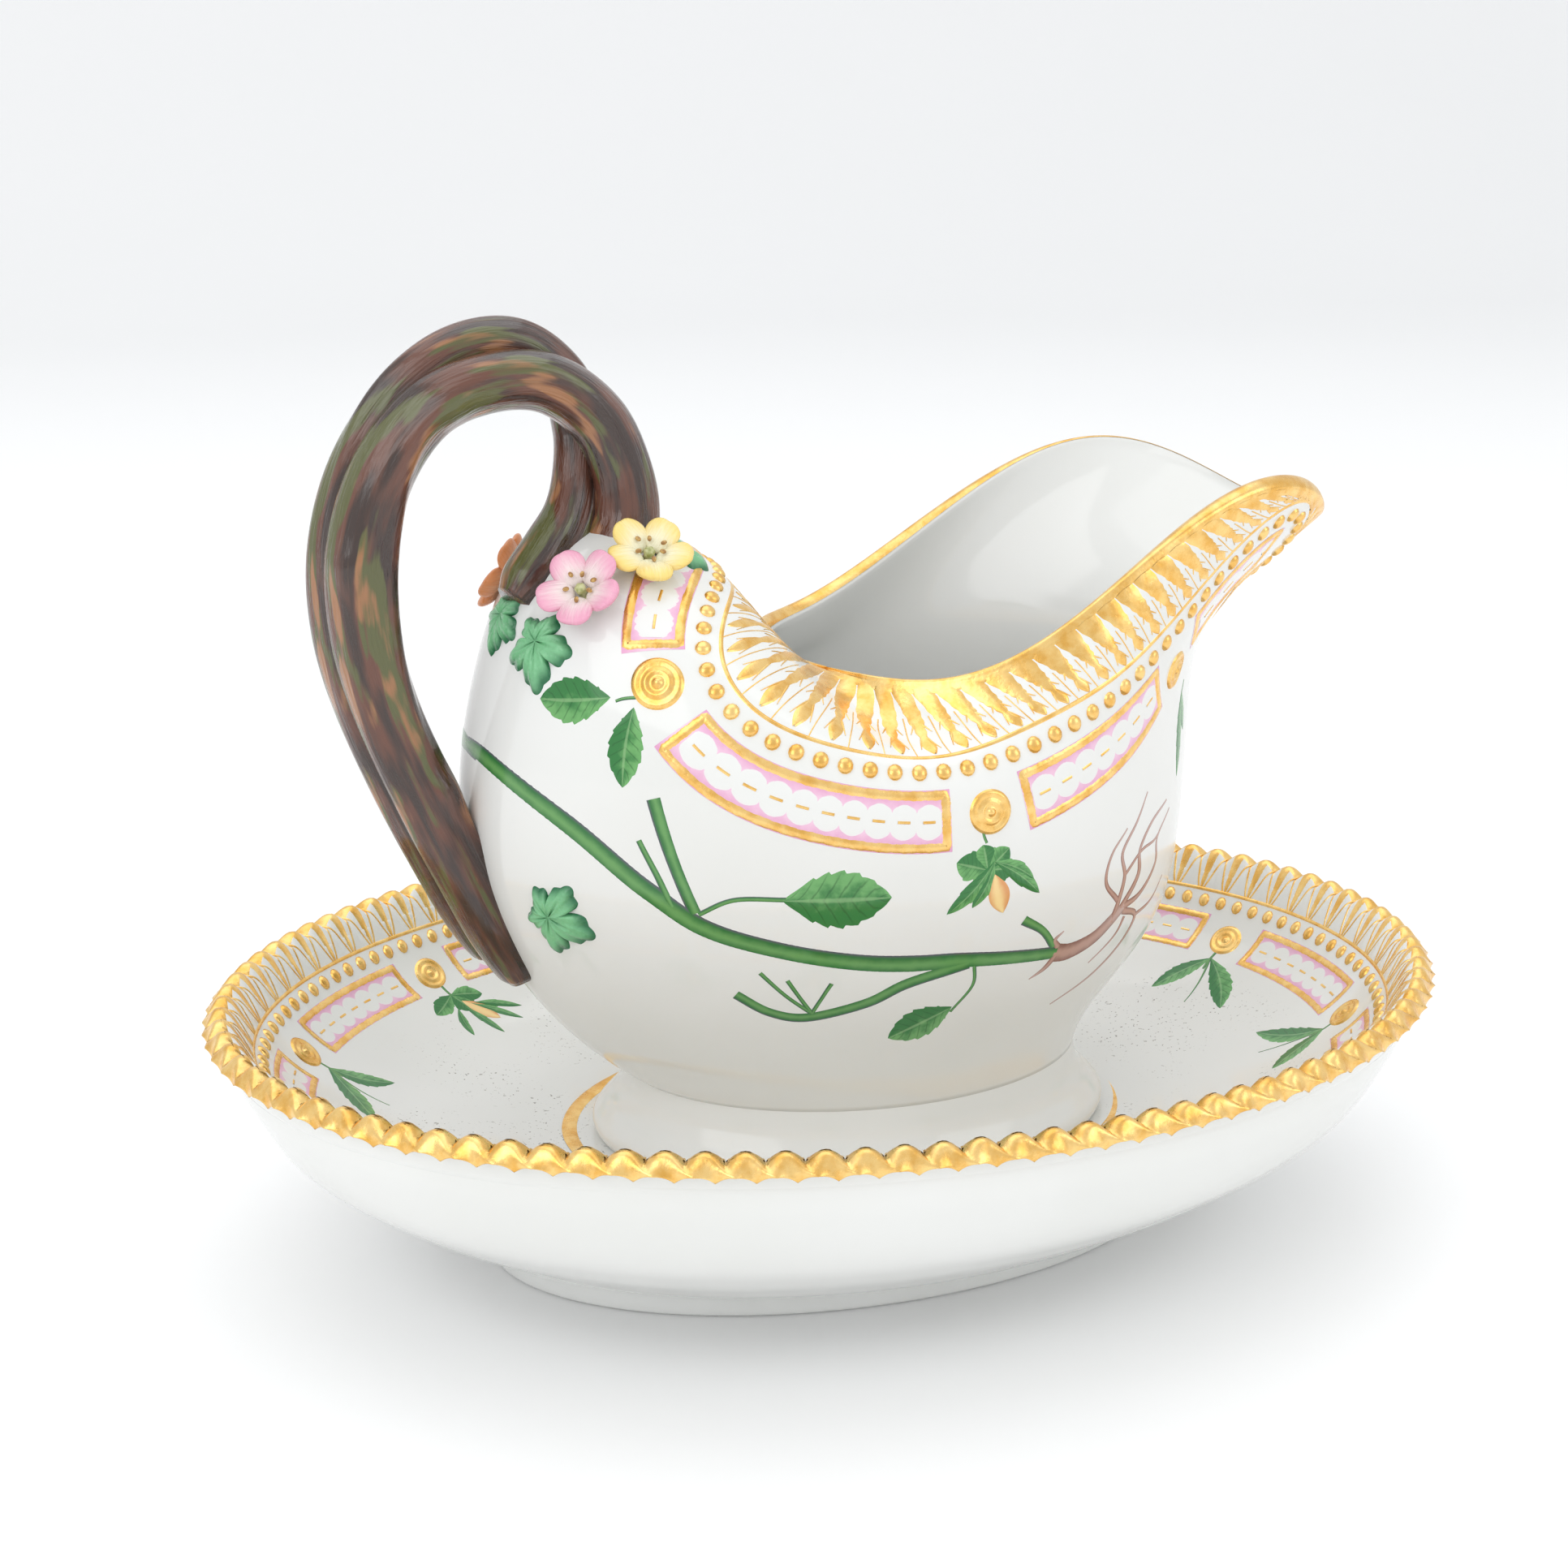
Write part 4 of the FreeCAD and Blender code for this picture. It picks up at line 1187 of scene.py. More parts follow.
def build_boat_bowl():
    """The bowl, its inner wall set in by the wall's thickness, and the gold laid over its rim."""
    skin = boat()
    columns = 360
    u = np.linspace(0, TURN, columns, endpoint=False)
    cage = np.stack([skin.ring(r, u) for r in skin.RINGS])
    wall = mm(sizes().wall)
    shell = cage[:8]
    below = np.concatenate([shell[1:], shell[-1:]])
    above = np.concatenate([shell[:1], shell[:-1]])
    push = unit(np.cross(below - above, np.roll(shell, -1, 1) - np.roll(shell, 1, 1)))
    inner = shell - push * wall
    if np.linalg.norm(inner[5, 0, :2]) > np.linalg.norm(shell[5, 0, :2]):
        inner = shell + push * wall
    floor = [stacked(a * np.cos(u), b * np.sin(u), 44.0) for a, b in ((42.0, 29.0), (20.0, 14.0))]
    inside = np.concatenate([inner, floor])

    def loft(rings, v):
        return sum(w[:, None, None] * r[None] for w, r in zip(spline_weights(len(rings), v), rings))

    lift = np.array([0.0, 0.0, 1.6])
    rim = loft(np.stack([cage[0], cage[0] + lift, inner[0] + lift, inner[0]]), np.linspace(0, 1, 12))
    outer = loft(cage, np.linspace(1, 0, 150))
    inward = loft(inside, np.linspace(0, 1, 100))
    centre = outer[0].mean(0)
    base = np.stack([share * (outer[0] - centre) + centre for share in (0.03, 0.5, 0.97)])
    rows = np.concatenate([base, outer, rim[1:], inward[1:]])
    solid = Surface(rows, wrap=True, poles=(0, 1))
    make_piece("boat_body", solid, "boat", "porcelain", ["boat_bowl"])
    c = np.linspace(0, 1, 6)
    steep = np.linalg.norm(skin.frame(u, 0.01 + 0 * u)[2], axis=-1)
    edge_u = np.broadcast_to(u, (6, columns))
    edge_v = (1 - c[:, None]) * mm(sizes().gilt_rim) / steep
    face, _, _, up = skin.frame(edge_u, edge_v)
    proud = 0.12
    face = face + up * (proud - 0.16 * (1 - c[:, None, None])**6)
    around = np.roll(rim, -1, 1) - np.roll(rim, 1, 1)
    raised = unit(np.cross(around, np.gradient(rim, axis=0)))
    wall_middle = (cage[0] + inner[0]) / 2 - 0.3 * lift
    raised = raised * np.sign(((rim - wall_middle) * raised).sum(-1, keepdims=True))
    over = (rim + proud * raised)[1:10]
    gilt = np.concatenate([face, over])
    shown = np.concatenate([up, raised[1:10]])
    gild("boat_gilt_rim", Surface(gilt, wrap=True, shown=shown), "boat")


def build_boat_foot():
    """The boat's moulded foot ring, closed across its top and underneath."""
    columns = 240
    centre = 3.0
    top = oval_rows([(1.5, 1.1, 37.2), (24.0, 18.0, 37.2), (46.0, 34.6, 37.2)], columns, 4, centre)
    ring = oval_rows(BOAT_FOOT, columns, 70, centre)
    under = oval_rows([(36.0, 26.0, 33.6), (1.5, 1.1, 33.6)], columns, 3, centre)
    rows = np.concatenate([top, ring, under])
    foot = Surface(rows, wrap=True, poles=(0, 1))
    make_piece("boat_foot_ring", foot, "boat", "porcelain", ["boat_foot"])


def build_boat_border():
    """The gold under the boat's rim: leaves with their barbs, a line, beads, panels and rosettes."""
    skin = boat()
    border = Border(skin)
    count = sizes().boat_leaves
    at_leaf = np.arange(count) / count
    pitch = 1 / count
    depth = np.linspace(0.06, 0.94, 40)
    knots = (0.06, 0.18, 0.24, 0.30, 0.36, 0.42, 0.48, 0.54, 0.60, 0.66, 0.72, 0.78, 0.84, 0.90, 0.94)
    halves = (0.51, 0.50, 0.43, 0.38, 0.40, 0.31, 0.33, 0.20, 0.22, 0.13, 0.15, 0.24, 0.22, 0.12, 0.03)
    half = np.interp(depth, knots, halves)
    c = np.linspace(-1, 1, 7)
    s = at_leaf[:, None, None] + pitch * half[None, :, None] * c[None, None, :]
    u, v = border.leaf_at(s, depth[None, :, None] + 0 * s + 0.02 * np.abs(c)[None, None, :])
    rise = 0.16 * (1 - c**4) - 0.03 * c**4
    place = stacked(depth[None, :, None], c[None, None, :], 0 * s)
    point, _, _, up = skin.frame(u, v)
    leaves = Surface(point + up * rise[None, None, :, None], place, shown=up)
    d = np.linspace(0.44, 1.0, 12)
    s = at_leaf[:, None] + pitch * (0.5 + 0.06 * np.sin(5 * d))[None, :]
    sticks = ribbon(skin, *border.leaf_at(s, d[None, :] + 0 * s), 0.15, 0.10, across=4)
    barbs = []
    for side in (-1, 1):
        for start, end, reach in ((0.50, 0.63, 0.36), (0.68, 0.87, 0.30)):
            w = np.linspace(0, 1, 7)
            s = at_leaf[:, None] + side * pitch * (0.06 + (reach - 0.06) * w**0.8)[None, :]
            d = start + (end - start) * w[None, :] + 0 * s
            barbs.append(ribbon(skin, *border.leaf_at(s, d), 0.34 * (1 - 0.8 * w)[None, :], 0.13, across=4))
    gild("boat_rim_leaves", [leaves, sticks] + barbs, "boat")
    ring = np.linspace(0, 1, 504, endpoint=False)
    at_line = border.at(ring, border.GOLD_LINE + 0 * ring)
    line = ribbon(skin, *at_line, mm(sizes().line) / 2, 0.14, closed=True)
    gild("boat_gold_line", line, "boat")
    count = sizes().boat_beads
    at_bead = border.at((np.arange(count) + 0.5) / count, np.zeros(count))
    beads = button(skin, *at_bead, mm(sizes().boat_bead) * 0.92, bead_height(0.85), flat=1.12, around=12)
    gild("boat_beads", beads, "boat")
    make_panels(border.at, skin, BOAT_PANELS, 3.2, 14.4, mm(sizes().frame), 5.0, "boat")
    share = np.array([0.5955, 0.7205, 0.8325, 0.4045, 0.2795, 0.1675])
    out = np.array([9.0, 8.6, 11.5, 9.0, 8.6, 11.5])
    smaller = np.array([1.0, 0.86, 0.80, 1.0, 0.86, 0.80])
    rosettes = button(skin, *border.at(share, out), mm(sizes().boat_rosette) * smaller, rosette_height(0.8),
                      around=40)
    gild("boat_rosettes", rosettes, "boat")


def mirrored(points):
    """Points given as (degrees round, v), on the other side."""
    return [(360.0 - a, b) for a, b in points]


def build_boat_spray():
    """The painted branch with its cut twigs, leaves and roots, on both sides."""
    skin = boat()
    stems, leaves, roots, buds = [], [], [], []
    for flip in (lambda points: points, mirrored):
        def stem(points, widths, count=60):
            stems.append(stroke(skin, flip(points), widths, count=count))

        def leaf(base, tip, width, bend=0.0, teeth=7, rise=0.05):
            sign = 1 if flip is not mirrored else -1
            leaves.append(painted_leaf(skin, *flip([base, tip]), width, bend * sign, teeth, rise))

        def root(points, widths, count=40):
            roots.append(stroke(skin, flip(points), [1.3 * w for w in widths], count=count))

        stem([(173, 0.661), (191, 0.658), (213, 0.680), (227, 0.722), (236, 0.752), (247, 0.763),
              (258, 0.767), (266, 0.764), (273, 0.758), (282, 0.760), (291, 0.765)],
             [1.6, 2.2, 2.4, 2.4, 2.3, 2.2, 2.3, 2.4, 2.2, 2.0, 1.8], 140)
        stem([(234.5, 0.735), (231, 0.68), (226, 0.600)], [1.5, 1.5, 1.7], 30)
        stem([(231, 0.735), (228.5, 0.70), (225, 0.662)], [0.9, 0.8, 0.7], 20)
        stem([(290, 0.752), (287, 0.712), (283, 0.683)], [1.0, 1.0, 1.3], 20)
        stem([(235, 0.735), (240, 0.700), (247, 0.680)], [0.6, 0.6, 0.6], 24)
        leaf((246.5, 0.683), (261.5, 0.640), 13.0, 0.0, 7)
        stem([(275, 0.765), (266, 0.800), (260, 0.835), (251, 0.861), (245, 0.858), (240, 0.838)],
             [1.6, 1.6, 1.5, 1.4, 1.3, 1.3], 60)
        for tip in ((244.0, 0.802), (248.0, 0.808), (254.5, 0.806)):
            stem([(251.5, 0.855), ((251.5 + tip[0]) / 2, 0.832), tip], [0.55, 0.5, 0.55], 16)
        stem([(276, 0.770), (276.5, 0.81), (274, 0.855)], [0.5, 0.45, 0.4], 20)
        leaf((274.0, 0.846), (264.0, 0.893), 9.5, 0.0, 6)
        stem([(272.6, 0.462), (273.2, 0.482), (274, 0.500)], [0.35, 0.35, 0.35], 10)
        for round_to, v, wide in ((270.0, 0.552, 6.6), (273.5, 0.505, 6.0), (278.0, 0.512, 5.6),
                                  (280.0, 0.560, 5.6)):
            leaf((275.2, 0.565), (round_to, v), wide, 0.0, 3)
        for round_to, v, wide in ((270.0, 0.665, 3.6), (273.8, 0.650, 3.2), (285.0, 0.625, 3.4),
                                  (283.5, 0.590, 3.0)):
            leaf((276, 0.545), (round_to, v), wide, 0.6, 3, 0.10)
        buds.append(painted_leaf(skin, *flip([(276.5, 0.575), (279.0, 0.662)]), 5.0, 0.0, 0.01, 0.14))
        stem([(219.0, 0.480), (217, 0.495), (216.0, 0.505)], [0.4, 0.4, 0.35], 10)
        leaf((215.0, 0.505), (202.5, 0.560), 9.6, 0.4, 6)
        leaf((219.0, 0.497), (221.0, 0.605), 7.6, -0.4, 6)
        stem([(323, 0.315), (323, 0.330), (322.6, 0.345)], [0.35, 0.35, 0.3], 10)
        leaf((322.6, 0.335), (323.5, 0.510), 4.2, 0.4, 6)
        leaf((322.6, 0.335), (327.0, 0.430), 4.4, 0.0, 5)
        root([(290.5, 0.766), (294, 0.770), (299, 0.757), (303, 0.730), (306, 0.708)],
             [2.1, 2.0, 1.7, 1.5, 1.2], 50)
        root([(303, 0.735), (304.0, 0.690), (304.5, 0.640), (303.0, 0.585), (306.5, 0.530), (309.0, 0.480)],
             [0.9, 0.7, 0.55, 0.45, 0.35, 0.2])
        root([(305, 0.712), (309, 0.655), (308.5, 0.600), (312, 0.555), (318.0, 0.535)],
             [0.9, 0.7, 0.5, 0.4, 0.25])
        root([(305, 0.712), (311, 0.700), (315.5, 0.655), (315.0, 0.600), (320, 0.560)],
             [0.9, 0.65, 0.5, 0.4, 0.2])
        root([(303.5, 0.690), (299.5, 0.640), (300.0, 0.580), (303.5, 0.535)], [0.6, 0.45, 0.35, 0.2])
        root([(304.5, 0.640), (309.0, 0.605), (314.0, 0.600), (317.5, 0.575)], [0.45, 0.35, 0.3, 0.15])
        root([(306, 0.720), (311, 0.745), (309.5, 0.790), (304.0, 0.840), (296.0, 0.876)],
             [0.8, 0.6, 0.5, 0.4, 0.2])
        root([(311, 0.745), (317, 0.735), (321, 0.700)], [0.5, 0.4, 0.2], 20)
        root([(307, 0.735), (305.5, 0.770), (300.5, 0.810)], [0.5, 0.35, 0.2], 20)
        root([(291, 0.772), (289.5, 0.795), (287, 0.812)], [0.8, 0.6, 0.15], 14)
        root([(291, 0.755), (290, 0.738), (291.5, 0.722)], [0.8, 0.5, 0.15], 14)
    make_piece("boat_spray_stems", stems, "boat", "stem_paint")
    make_piece("boat_spray_leaves", leaves, "boat", "leaf_paint")
    make_piece("boat_spray_roots", roots, "boat", "root_paint")
    make_piece("boat_spray_buds", buds, "boat", "bud_paint")


# ---- the handle ----------------------------------------------------------------------------------

# points along the branch in millimetres, each with the branch's radius there
MAIN_BRANCH = [
    (-66.5, -7.5, 60.5, 2.6), (-67.5, -7.5, 63.0, 4.2), (-71.5, -7.2, 71.0, 5.3),
    (-76.5, -6.0, 83.0, 5.8), (-82.5, -4.6, 97.0, 6.0), (-88.5, -4.0, 112.0, 6.0),
    (-92.0, -3.8, 127.0, 6.2), (-92.2, -3.6, 142.0, 6.4), (-88.0, -3.6, 156.0, 6.4),
    (-79.5, -4.2, 167.0, 6.1), (-68.5, -4.6, 171.5, 5.8), (-57.5, -4.0, 171.0, 5.6),
    (-48.5, -3.0, 164.5, 5.5), (-44.0, -2.4, 155.0, 5.7), (-43.2, -2.4, 146.0, 6.4),
    (-46.0, -3.0, 138.5, 6.8), (-47.0, -3.0, 136.0, 3.5),
]
SECOND_BRANCH = [
    (-70.5, 3.0, 61.5, 1.0), (-71.5, 3.0, 64.0, 3.0), (-75.5, 2.6, 72.0, 4.2), (-81.0, 2.6, 84.5, 4.7),
    (-87.0, 3.0, 98.5, 4.9), (-92.2, 3.6, 112.5, 5.0), (-95.4, 4.0, 127.0, 5.1), (-95.6, 3.8, 142.0, 5.1),
    (-91.8, 2.6, 156.5, 5.1), (-84.0, 1.4, 168.5, 5.0), (-73.5, 1.2, 176.0, 4.9), (-62.0, 2.4, 177.0, 4.8),
    (-53.0, 4.2, 170.5, 4.6), (-50.4, 4.2, 162.0, 4.6), (-51.0, 2.0, 154.0, 4.8), (-53.5, -1.0, 147.0, 5.0),
    (-58.0, -4.0, 141.0, 5.5), (-63.0, -6.4, 135.6, 5.4), (-65.6, -7.6, 132.8, 3.9),
]

# how deep under the boat's skin a branch's end stays, and how near to the skin that holds
HELD = 2.2
HELD_WITHIN = 14


def branch_surface(route, ridge_at, knots):
    """A branch: P(s, f) = C(s) + r(s) g(s, f) (cos f n + sin f b), n and b square to C.

    1.06 g = 1 + 0.15 exp(-(d/0.33)²) + 0.06 cos(2 f + s/17) + 0.03 cos(5 f - s/11) + knots, where d is
    the angle from the ridge, which wanders round the branch with s. Where a branch runs into the boat,
    its points stop HELD under the boat's skin, inside the wall.
    """
    table = smooth_path(route, 260)
    centre, radius = table[:, :3], table[:, 3]
    along = unit(np.gradient(centre, axis=0))
    flat = np.array([0.0, 1.0, 0.0])
    normal = unit(flat - (along @ flat)[:, None] * along)
    side = np.cross(along, normal)
    run = np.concatenate([[0], np.cumsum(np.linalg.norm(np.diff(centre, axis=0), axis=-1))])
    f = np.linspace(0, TURN, 56, endpoint=False)
    s = run[:, None]
    ridge = ridge_at + 0.55 * np.sin(s / 31) + 0.3 * np.sin(s / 13 + 1)
    d = (f - ridge + np.pi) % TURN - np.pi
    shape = 1 + 0.15 * np.exp(-(d / 0.33)**2)
    shape = shape + 0.06 * np.cos(2 * f + s / 17) + 0.03 * np.cos(5 * f - s / 11)
    for where, turn, size in knots:
        e = (f - turn + np.pi) % TURN - np.pi
        shape = shape + size * np.exp(-((s / run[-1] - where) / 0.022)**2 - (e / 0.6)**2)
    shape = shape / 1.06
    points = centre[:, None] + (radius[:, None] * shape)[..., None] * (
        np.cos(f)[None, :, None] * normal[:, None] + np.sin(f)[None, :, None] * side[:, None])
    skin = boat()
    u, v = (np.repeat(x[:, None], len(f), 1) for x in skin.find(centre))
    u, v = skin.nearest(points, u, v, 6)
    on, _, _, up = skin.frame(u, v)
    depth = ((on - points) * up).sum(-1)
    deep = (depth > HELD) & (np.linalg.norm(points - on, axis=-1) < HELD_WITHIN)
    points = np.where(deep[..., None], on - up * HELD, points)
    place = stacked(np.cos(f)[None, :], np.sin(f)[None, :], s)
    return Surface(points, place, wrap=True, poles=(0, 1))


def build_handle():
    """The two branches that make the handle, each with three knots: (share along, turn, size)."""
    main = branch_surface(MAIN_BRANCH, 3.6, ((0.22, 3.9, 0.16), (0.47, 2.5, 0.14), (0.66, 3.4, 0.18)))
    make_piece("handle_front_branch", main, "boat", "bark", ["handle_main_branch"])
    second = branch_surface(SECOND_BRANCH, 2.4, ((0.30, 2.8, 0.18), (0.55, 3.6, 0.15), (0.80, 3.0, 0.12)))
    make_piece("handle_back_branch", second, "boat", "bark", ["handle_second_branch"])


# ---- modelled blossoms and leaves ----------------------------------------------------------------

# colour, place, the way it faces, turn about that way in degrees
BLOSSOMS = [
    ("pink", (-56.6, -21.6, 136.4), (-0.47, -0.60, 0.64), 20),
    ("yellow", (-43.4, -18.6, 141.6), (-0.02, -0.60, 0.80), 50),
    ("orange", (-62.8, 11.2, 134.5), (-0.80, 0.36, 0.48), 10),
]


def standing_on(place, facing, turn):
    """Place and axes of a thing whose Z is along facing, turned about it by degrees."""
    rotation = Vector((0, 0, 1)).rotation_difference(Vector(facing).normalized()).to_matrix()
    spin = Matrix.Rotation(np.radians(turn), 3, "Z")
    return np.array(place), np.array(rotation @ spin)


def spun(points, angle):
    """Points turned about Z."""
    x, y, z = np.moveaxis(points, -1, 0)
    return np.stack([x * np.cos(angle) - y * np.sin(angle), x * np.sin(angle) + y * np.cos(angle), z], -1)


def petal_points(number):
    """A petal: an ellipsoid (a cos m cos f, b cos m sin f, h sin m) made broad, notched and cupped.

    y grows by 1 + 0.16 x/a, the outer end is notched by 0.2 exp(-(y/0.8)²) (x/a)², and z gains the cup
    0.07 (x/a + 0.4)² a + 0.03 y² and a ripple at the edge that the petal's number turns round.
    """
    m = np.linspace(np.pi / 2 * 0.94, -np.pi / 2 * 0.94, 19)[:, None]
    f = np.linspace(0, TURN, 40, endpoint=False)[None, :]
    a, b, h = 3.55, 3.25, 1.35
    x, y, z = a * np.cos(m) * np.cos(f), b * np.cos(m) * np.sin(f), h * np.sin(m) + 0 * f
    y = y * (1 + 0.16 * x / a)
    x = x - 0.2 * np.exp(-(y / 0.8)**2) * np.clip(x / a, 0, 1)**2
    z = z + 0.07 * (x / a + 0.4)**2 * a + 0.03 * y**2 + 0.22 * np.sin(3 * f + number) * np.cos(m)**4
    place = stacked((x / a + 1) / 2, y / b, number + 0 * f)
    return np.stack([x, y, z], -1), place


def build_blossoms():
    """Each blossom: five petals tipped up round a heart on a short stalk, and six stamens."""
    for name, place, facing, turn in BLOSSOMS:
        origin, axes = standing_on(place, facing, turn)
        petals = []
        for k in range(5):
            points, paint = petal_points(float(k))
            tilt = np.radians(-16 - 4 * np.sin(2.1 * k))
            tipped = np.stack([points[..., 0] * np.cos(tilt) + points[..., 2] * np.sin(tilt), points[..., 1],
                               -points[..., 0] * np.sin(tilt) + points[..., 2] * np.cos(tilt)], -1)
            petal = spun(tipped + (4.7, 0.0, 0.55), TURN * k / 5) + (0.0, 0.0, 0.12 * (k % 2))
            petals.append(Surface(petal @ axes.T + origin, paint, wrap=True, poles=(0, 1)))
        make_piece(name + "_blossom_cup", petals, "boat", name + "_petals",
                   [name + "_blossom_petals"])
        r = np.linspace(0.06, 1, 12)[:, None]
        f = np.linspace(0, TURN, 24, endpoint=False)[None, :]
        rows = stacked(np.sin(np.pi / 2 * r) * np.cos(f), np.sin(np.pi / 2 * r) * np.sin(f),
                       1.0 + 0.55 * np.cos(np.pi / 2 * r) + 0.12 * np.cos(5 * f) * r)
        stalk = rows[-1:] * np.array([0.8, 0.8, 0]) + np.array([0, 0, -6.0])
        heart = Surface(np.concatenate([rows, stalk]) @ axes.T + origin, wrap=True, poles=(0, 1))
        make_piece(name + "_blossom_middle", heart, "boat", "heart",
                   [name + "_blossom_heart"])
        dots = []
        for k in range(6):
            way = TURN * (k + 0.5) / 6 + 0.25 * np.sin(5 * k)
            reach = 2.35 + 0.5 * (k % 2)
            m = np.linspace(np.pi / 2 * 0.9, -np.pi / 2 * 0.9, 7)[:, None]
            g = np.linspace(0, TURN, 12, endpoint=False)[None, :]
            ball = stacked(0.62 * np.cos(m) * np.cos(g), 0.42 * np.cos(m) * np.sin(g), 0.42 * np.sin(m))
            dot = spun(ball, way) + (reach * np.cos(way), reach * np.sin(way), 1.75 + 0.15 * (k % 2))
            dots.append(Surface(dot @ axes.T + origin, wrap=True, poles=(0, 1)))
        make_piece(name + "_blossom_stamens", dots, "boat", "stamen")


# name, place, direction of the tip, half length, lobes
RELIEF_LEAVES = [
    ("shoulder_leaf_near", (-64.0, -17.3, 127.0), (-0.35, -0.45, -0.85), 9.5, 5),
    ("shoulder_leaf_back", (-67.4, -4.8, 129.8), (-0.30, 0.10, -0.95), 8.0, 5),
    ("shoulder_leaf_front", (-37.0, -13.0, 141.6), (0.75, -0.20, -0.35), 7.5, 3),
    ("root_leaf_near", (-65.0, -24.8, 78.0), (0.45, -0.75, -0.35), 9.5, 5),
    ("root_leaf_far", (-65.0, 24.8, 78.0), (0.45, 0.75, -0.35), 9.5, 5),
]


def build_relief_leaves():
    """Modelled leaves laid on the boat, their veins sunk and their edges ruffled.

    The outline is R(f) = (0.42 + 0.50 |cos(n f/2)|^0.6 + 0.09 |cos(3 n f/2)|) (0.80 + 0.20 cos f).
    """
    skin = boat()
    around = 150
    rings = np.array([0.04, 0.1, 0.2, 0.3, 0.4, 0.5, 0.6, 0.7, 0.8, 0.88, 0.94, 0.98, 1.0])
    for name, place, tip, length_mm, lobes in RELIEF_LEAVES:
        u0, v0 = skin.find(np.array([place], float))

        def outline(f):
            lobed = 0.42 + 0.50 * np.abs(np.cos(lobes * f / 2))**0.6 + 0.09 * np.abs(np.cos(1.5 * lobes * f))
            return lobed * (0.80 + 0.20 * np.cos(f))

        def height(r, f):
            body = 1.9 * (1 - r**3) * (0.55 + 0.45 * r)
            off_vein = (lobes * f / 2 + np.pi / 2) % np.pi - np.pi / 2
            vein = -0.55 * np.exp(-(off_vein / 0.22)**2) * (r < 0.9)
            ruffle = 0.45 * np.cos(2 * lobes * f) * r**2
            return (body + vein * (1 - r) + ruffle + 0.9 * r * (1 - r)) * (1 - r**12) - 0.05 * r**12

        leaf = button(skin, u0, v0, length_mm, (rings, height), around=around, outline=outline,
                      heading=np.array([tip], float))
        # the leaf's height goes to its glaze, which paints the ridges pale: thin glaze and a painted
        # highlight
        rise = height(rings[:, None], np.linspace(0, TURN, around, endpoint=False)[None]) / 2
        rise_and_tip = np.append(rise.ravel(), 0.8)
        leaf.place = np.concatenate([leaf.place[:, :2], rise_and_tip[:, None]], 1)
        make_piece(name + "_relief", leaf, "boat", "relief_leaf", [name])


# ---- the studio ----------------------------------------------------------------------------------

# name, place in metres, the point it is aimed at, width, height, power in watts
LIGHTS = [
    ("window_left", (-1.5, -1.1, 1.3), (0.0, 0.0, 0.08), 1.5, 1.5, 10.0),
    ("window_right", (1.5, -1.4, 1.1), (0.0, 0.0, 0.08), 1.2, 1.4, 6.0),
    ("overhead", (0.0, 0.3, 1.9), (0.0, 0.0, 0.05), 2.0, 2.0, 9.0),
]


def build_sweep():
    """A paper sweep: flat behind the object, then a quarter circle up to a wall."""
    flat_end, radius, wall_top = 2.6, 1.8, 7.0
    bend = np.linspace(0, np.pi / 2, 24)[1:]
    curve_y = flat_end + radius * np.sin(bend)
    y = np.concatenate([[-6.0, -2.0, 0.0, 1.5, flat_end], curve_y, [flat_end + radius]])
    z = np.concatenate([[0.0] * 5, radius * (1 - np.cos(bend)), [wall_top]])
    x = np.linspace(-9, 9, 13)
    points = stacked(x[None, :], y[:, None], z[:, None])
    mesh = bpy.data.meshes.new("studio_sweep")
    mesh.from_pydata(points.reshape(-1, 3).tolist(), [], grid_faces((1,) + points.shape[:2], False).tolist())
    mesh.polygons.foreach_set("use_smooth", np.ones(len(mesh.polygons), bool))
    mesh.materials.append(finish_named("studio_floor"))
    mesh.update()
    floor = bpy.data.objects.new("studio_sweep", mesh)
    bpy.context.scene.collection.objects.link(floor)


def build_lights():
    """Three soft lights and a pale surround."""
    for name, place, aim, wide, tall, power in LIGHTS:
        light = bpy.data.lights.new(name, "AREA")
        light.shape = "RECTANGLE"
        light.size, light.size_y, light.energy = wide, tall, power
        lamp = bpy.data.objects.new(name, light)
        lamp.location = place
        lamp.rotation_euler = (Vector(aim) - Vector(place)).to_track_quat("-Z", "Y").to_euler()
        bpy.context.scene.collection.objects.link(lamp)
    bpy.context.scene.view_settings.view_transform = "Standard"
    world = bpy.data.worlds.new("studio_air")
    world.use_nodes = True
    world.node_tree.nodes["Background"].inputs["Color"].default_value = (0.97, 0.985, 1.0, 1.0)
    world.node_tree.nodes["Background"].inputs["Strength"].default_value = 0.91
    bpy.context.scene.world = world


def build_camera():
    """The view: from the near side, a little to the left and above."""
    azimuth, elevation, distance = np.radians(-19.3), np.radians(15.0), 0.450
    target = Vector((-0.0114, 0.0, 0.0918))
    level = np.cos(elevation)
    back = Vector((np.sin(azimuth) * level, -np.cos(azimuth) * level, np.sin(elevation)))
    lens = bpy.data.cameras.new("view")
    lens.lens, lens.sensor_width = 52.85, 36.0
    lens.clip_start, lens.clip_end = 0.01, 100.0
    camera = bpy.data.objects.new("view", lens)
    camera.location = target + back * distance
    camera.rotation_euler = back.to_track_quat("Z", "Y").to_euler()
    bpy.context.scene.collection.objects.link(camera)
    bpy.context.scene.camera = camera


# ---- the add-on ----------------------------------------------------------------------------------

class GRAVYBOAT_OT_stand_body(bpy.types.Operator):
    """Build the stand's dish and foot"""

    bl_idname = "gravyboat.stand_body"
    bl_label = "Stand Body"

    def execute(self, context):
        build_stand_body()
        return {"FINISHED"}


class GRAVYBOAT_OT_stand_rim(bpy.types.Operator):
    """Build the stand's lobed and gilded rim"""

    bl_idname = "gravyboat.stand_rim"
    bl_label = "Stand Rim"

    def execute(self, context):
        build_stand_rim()
        return {"FINISHED"}


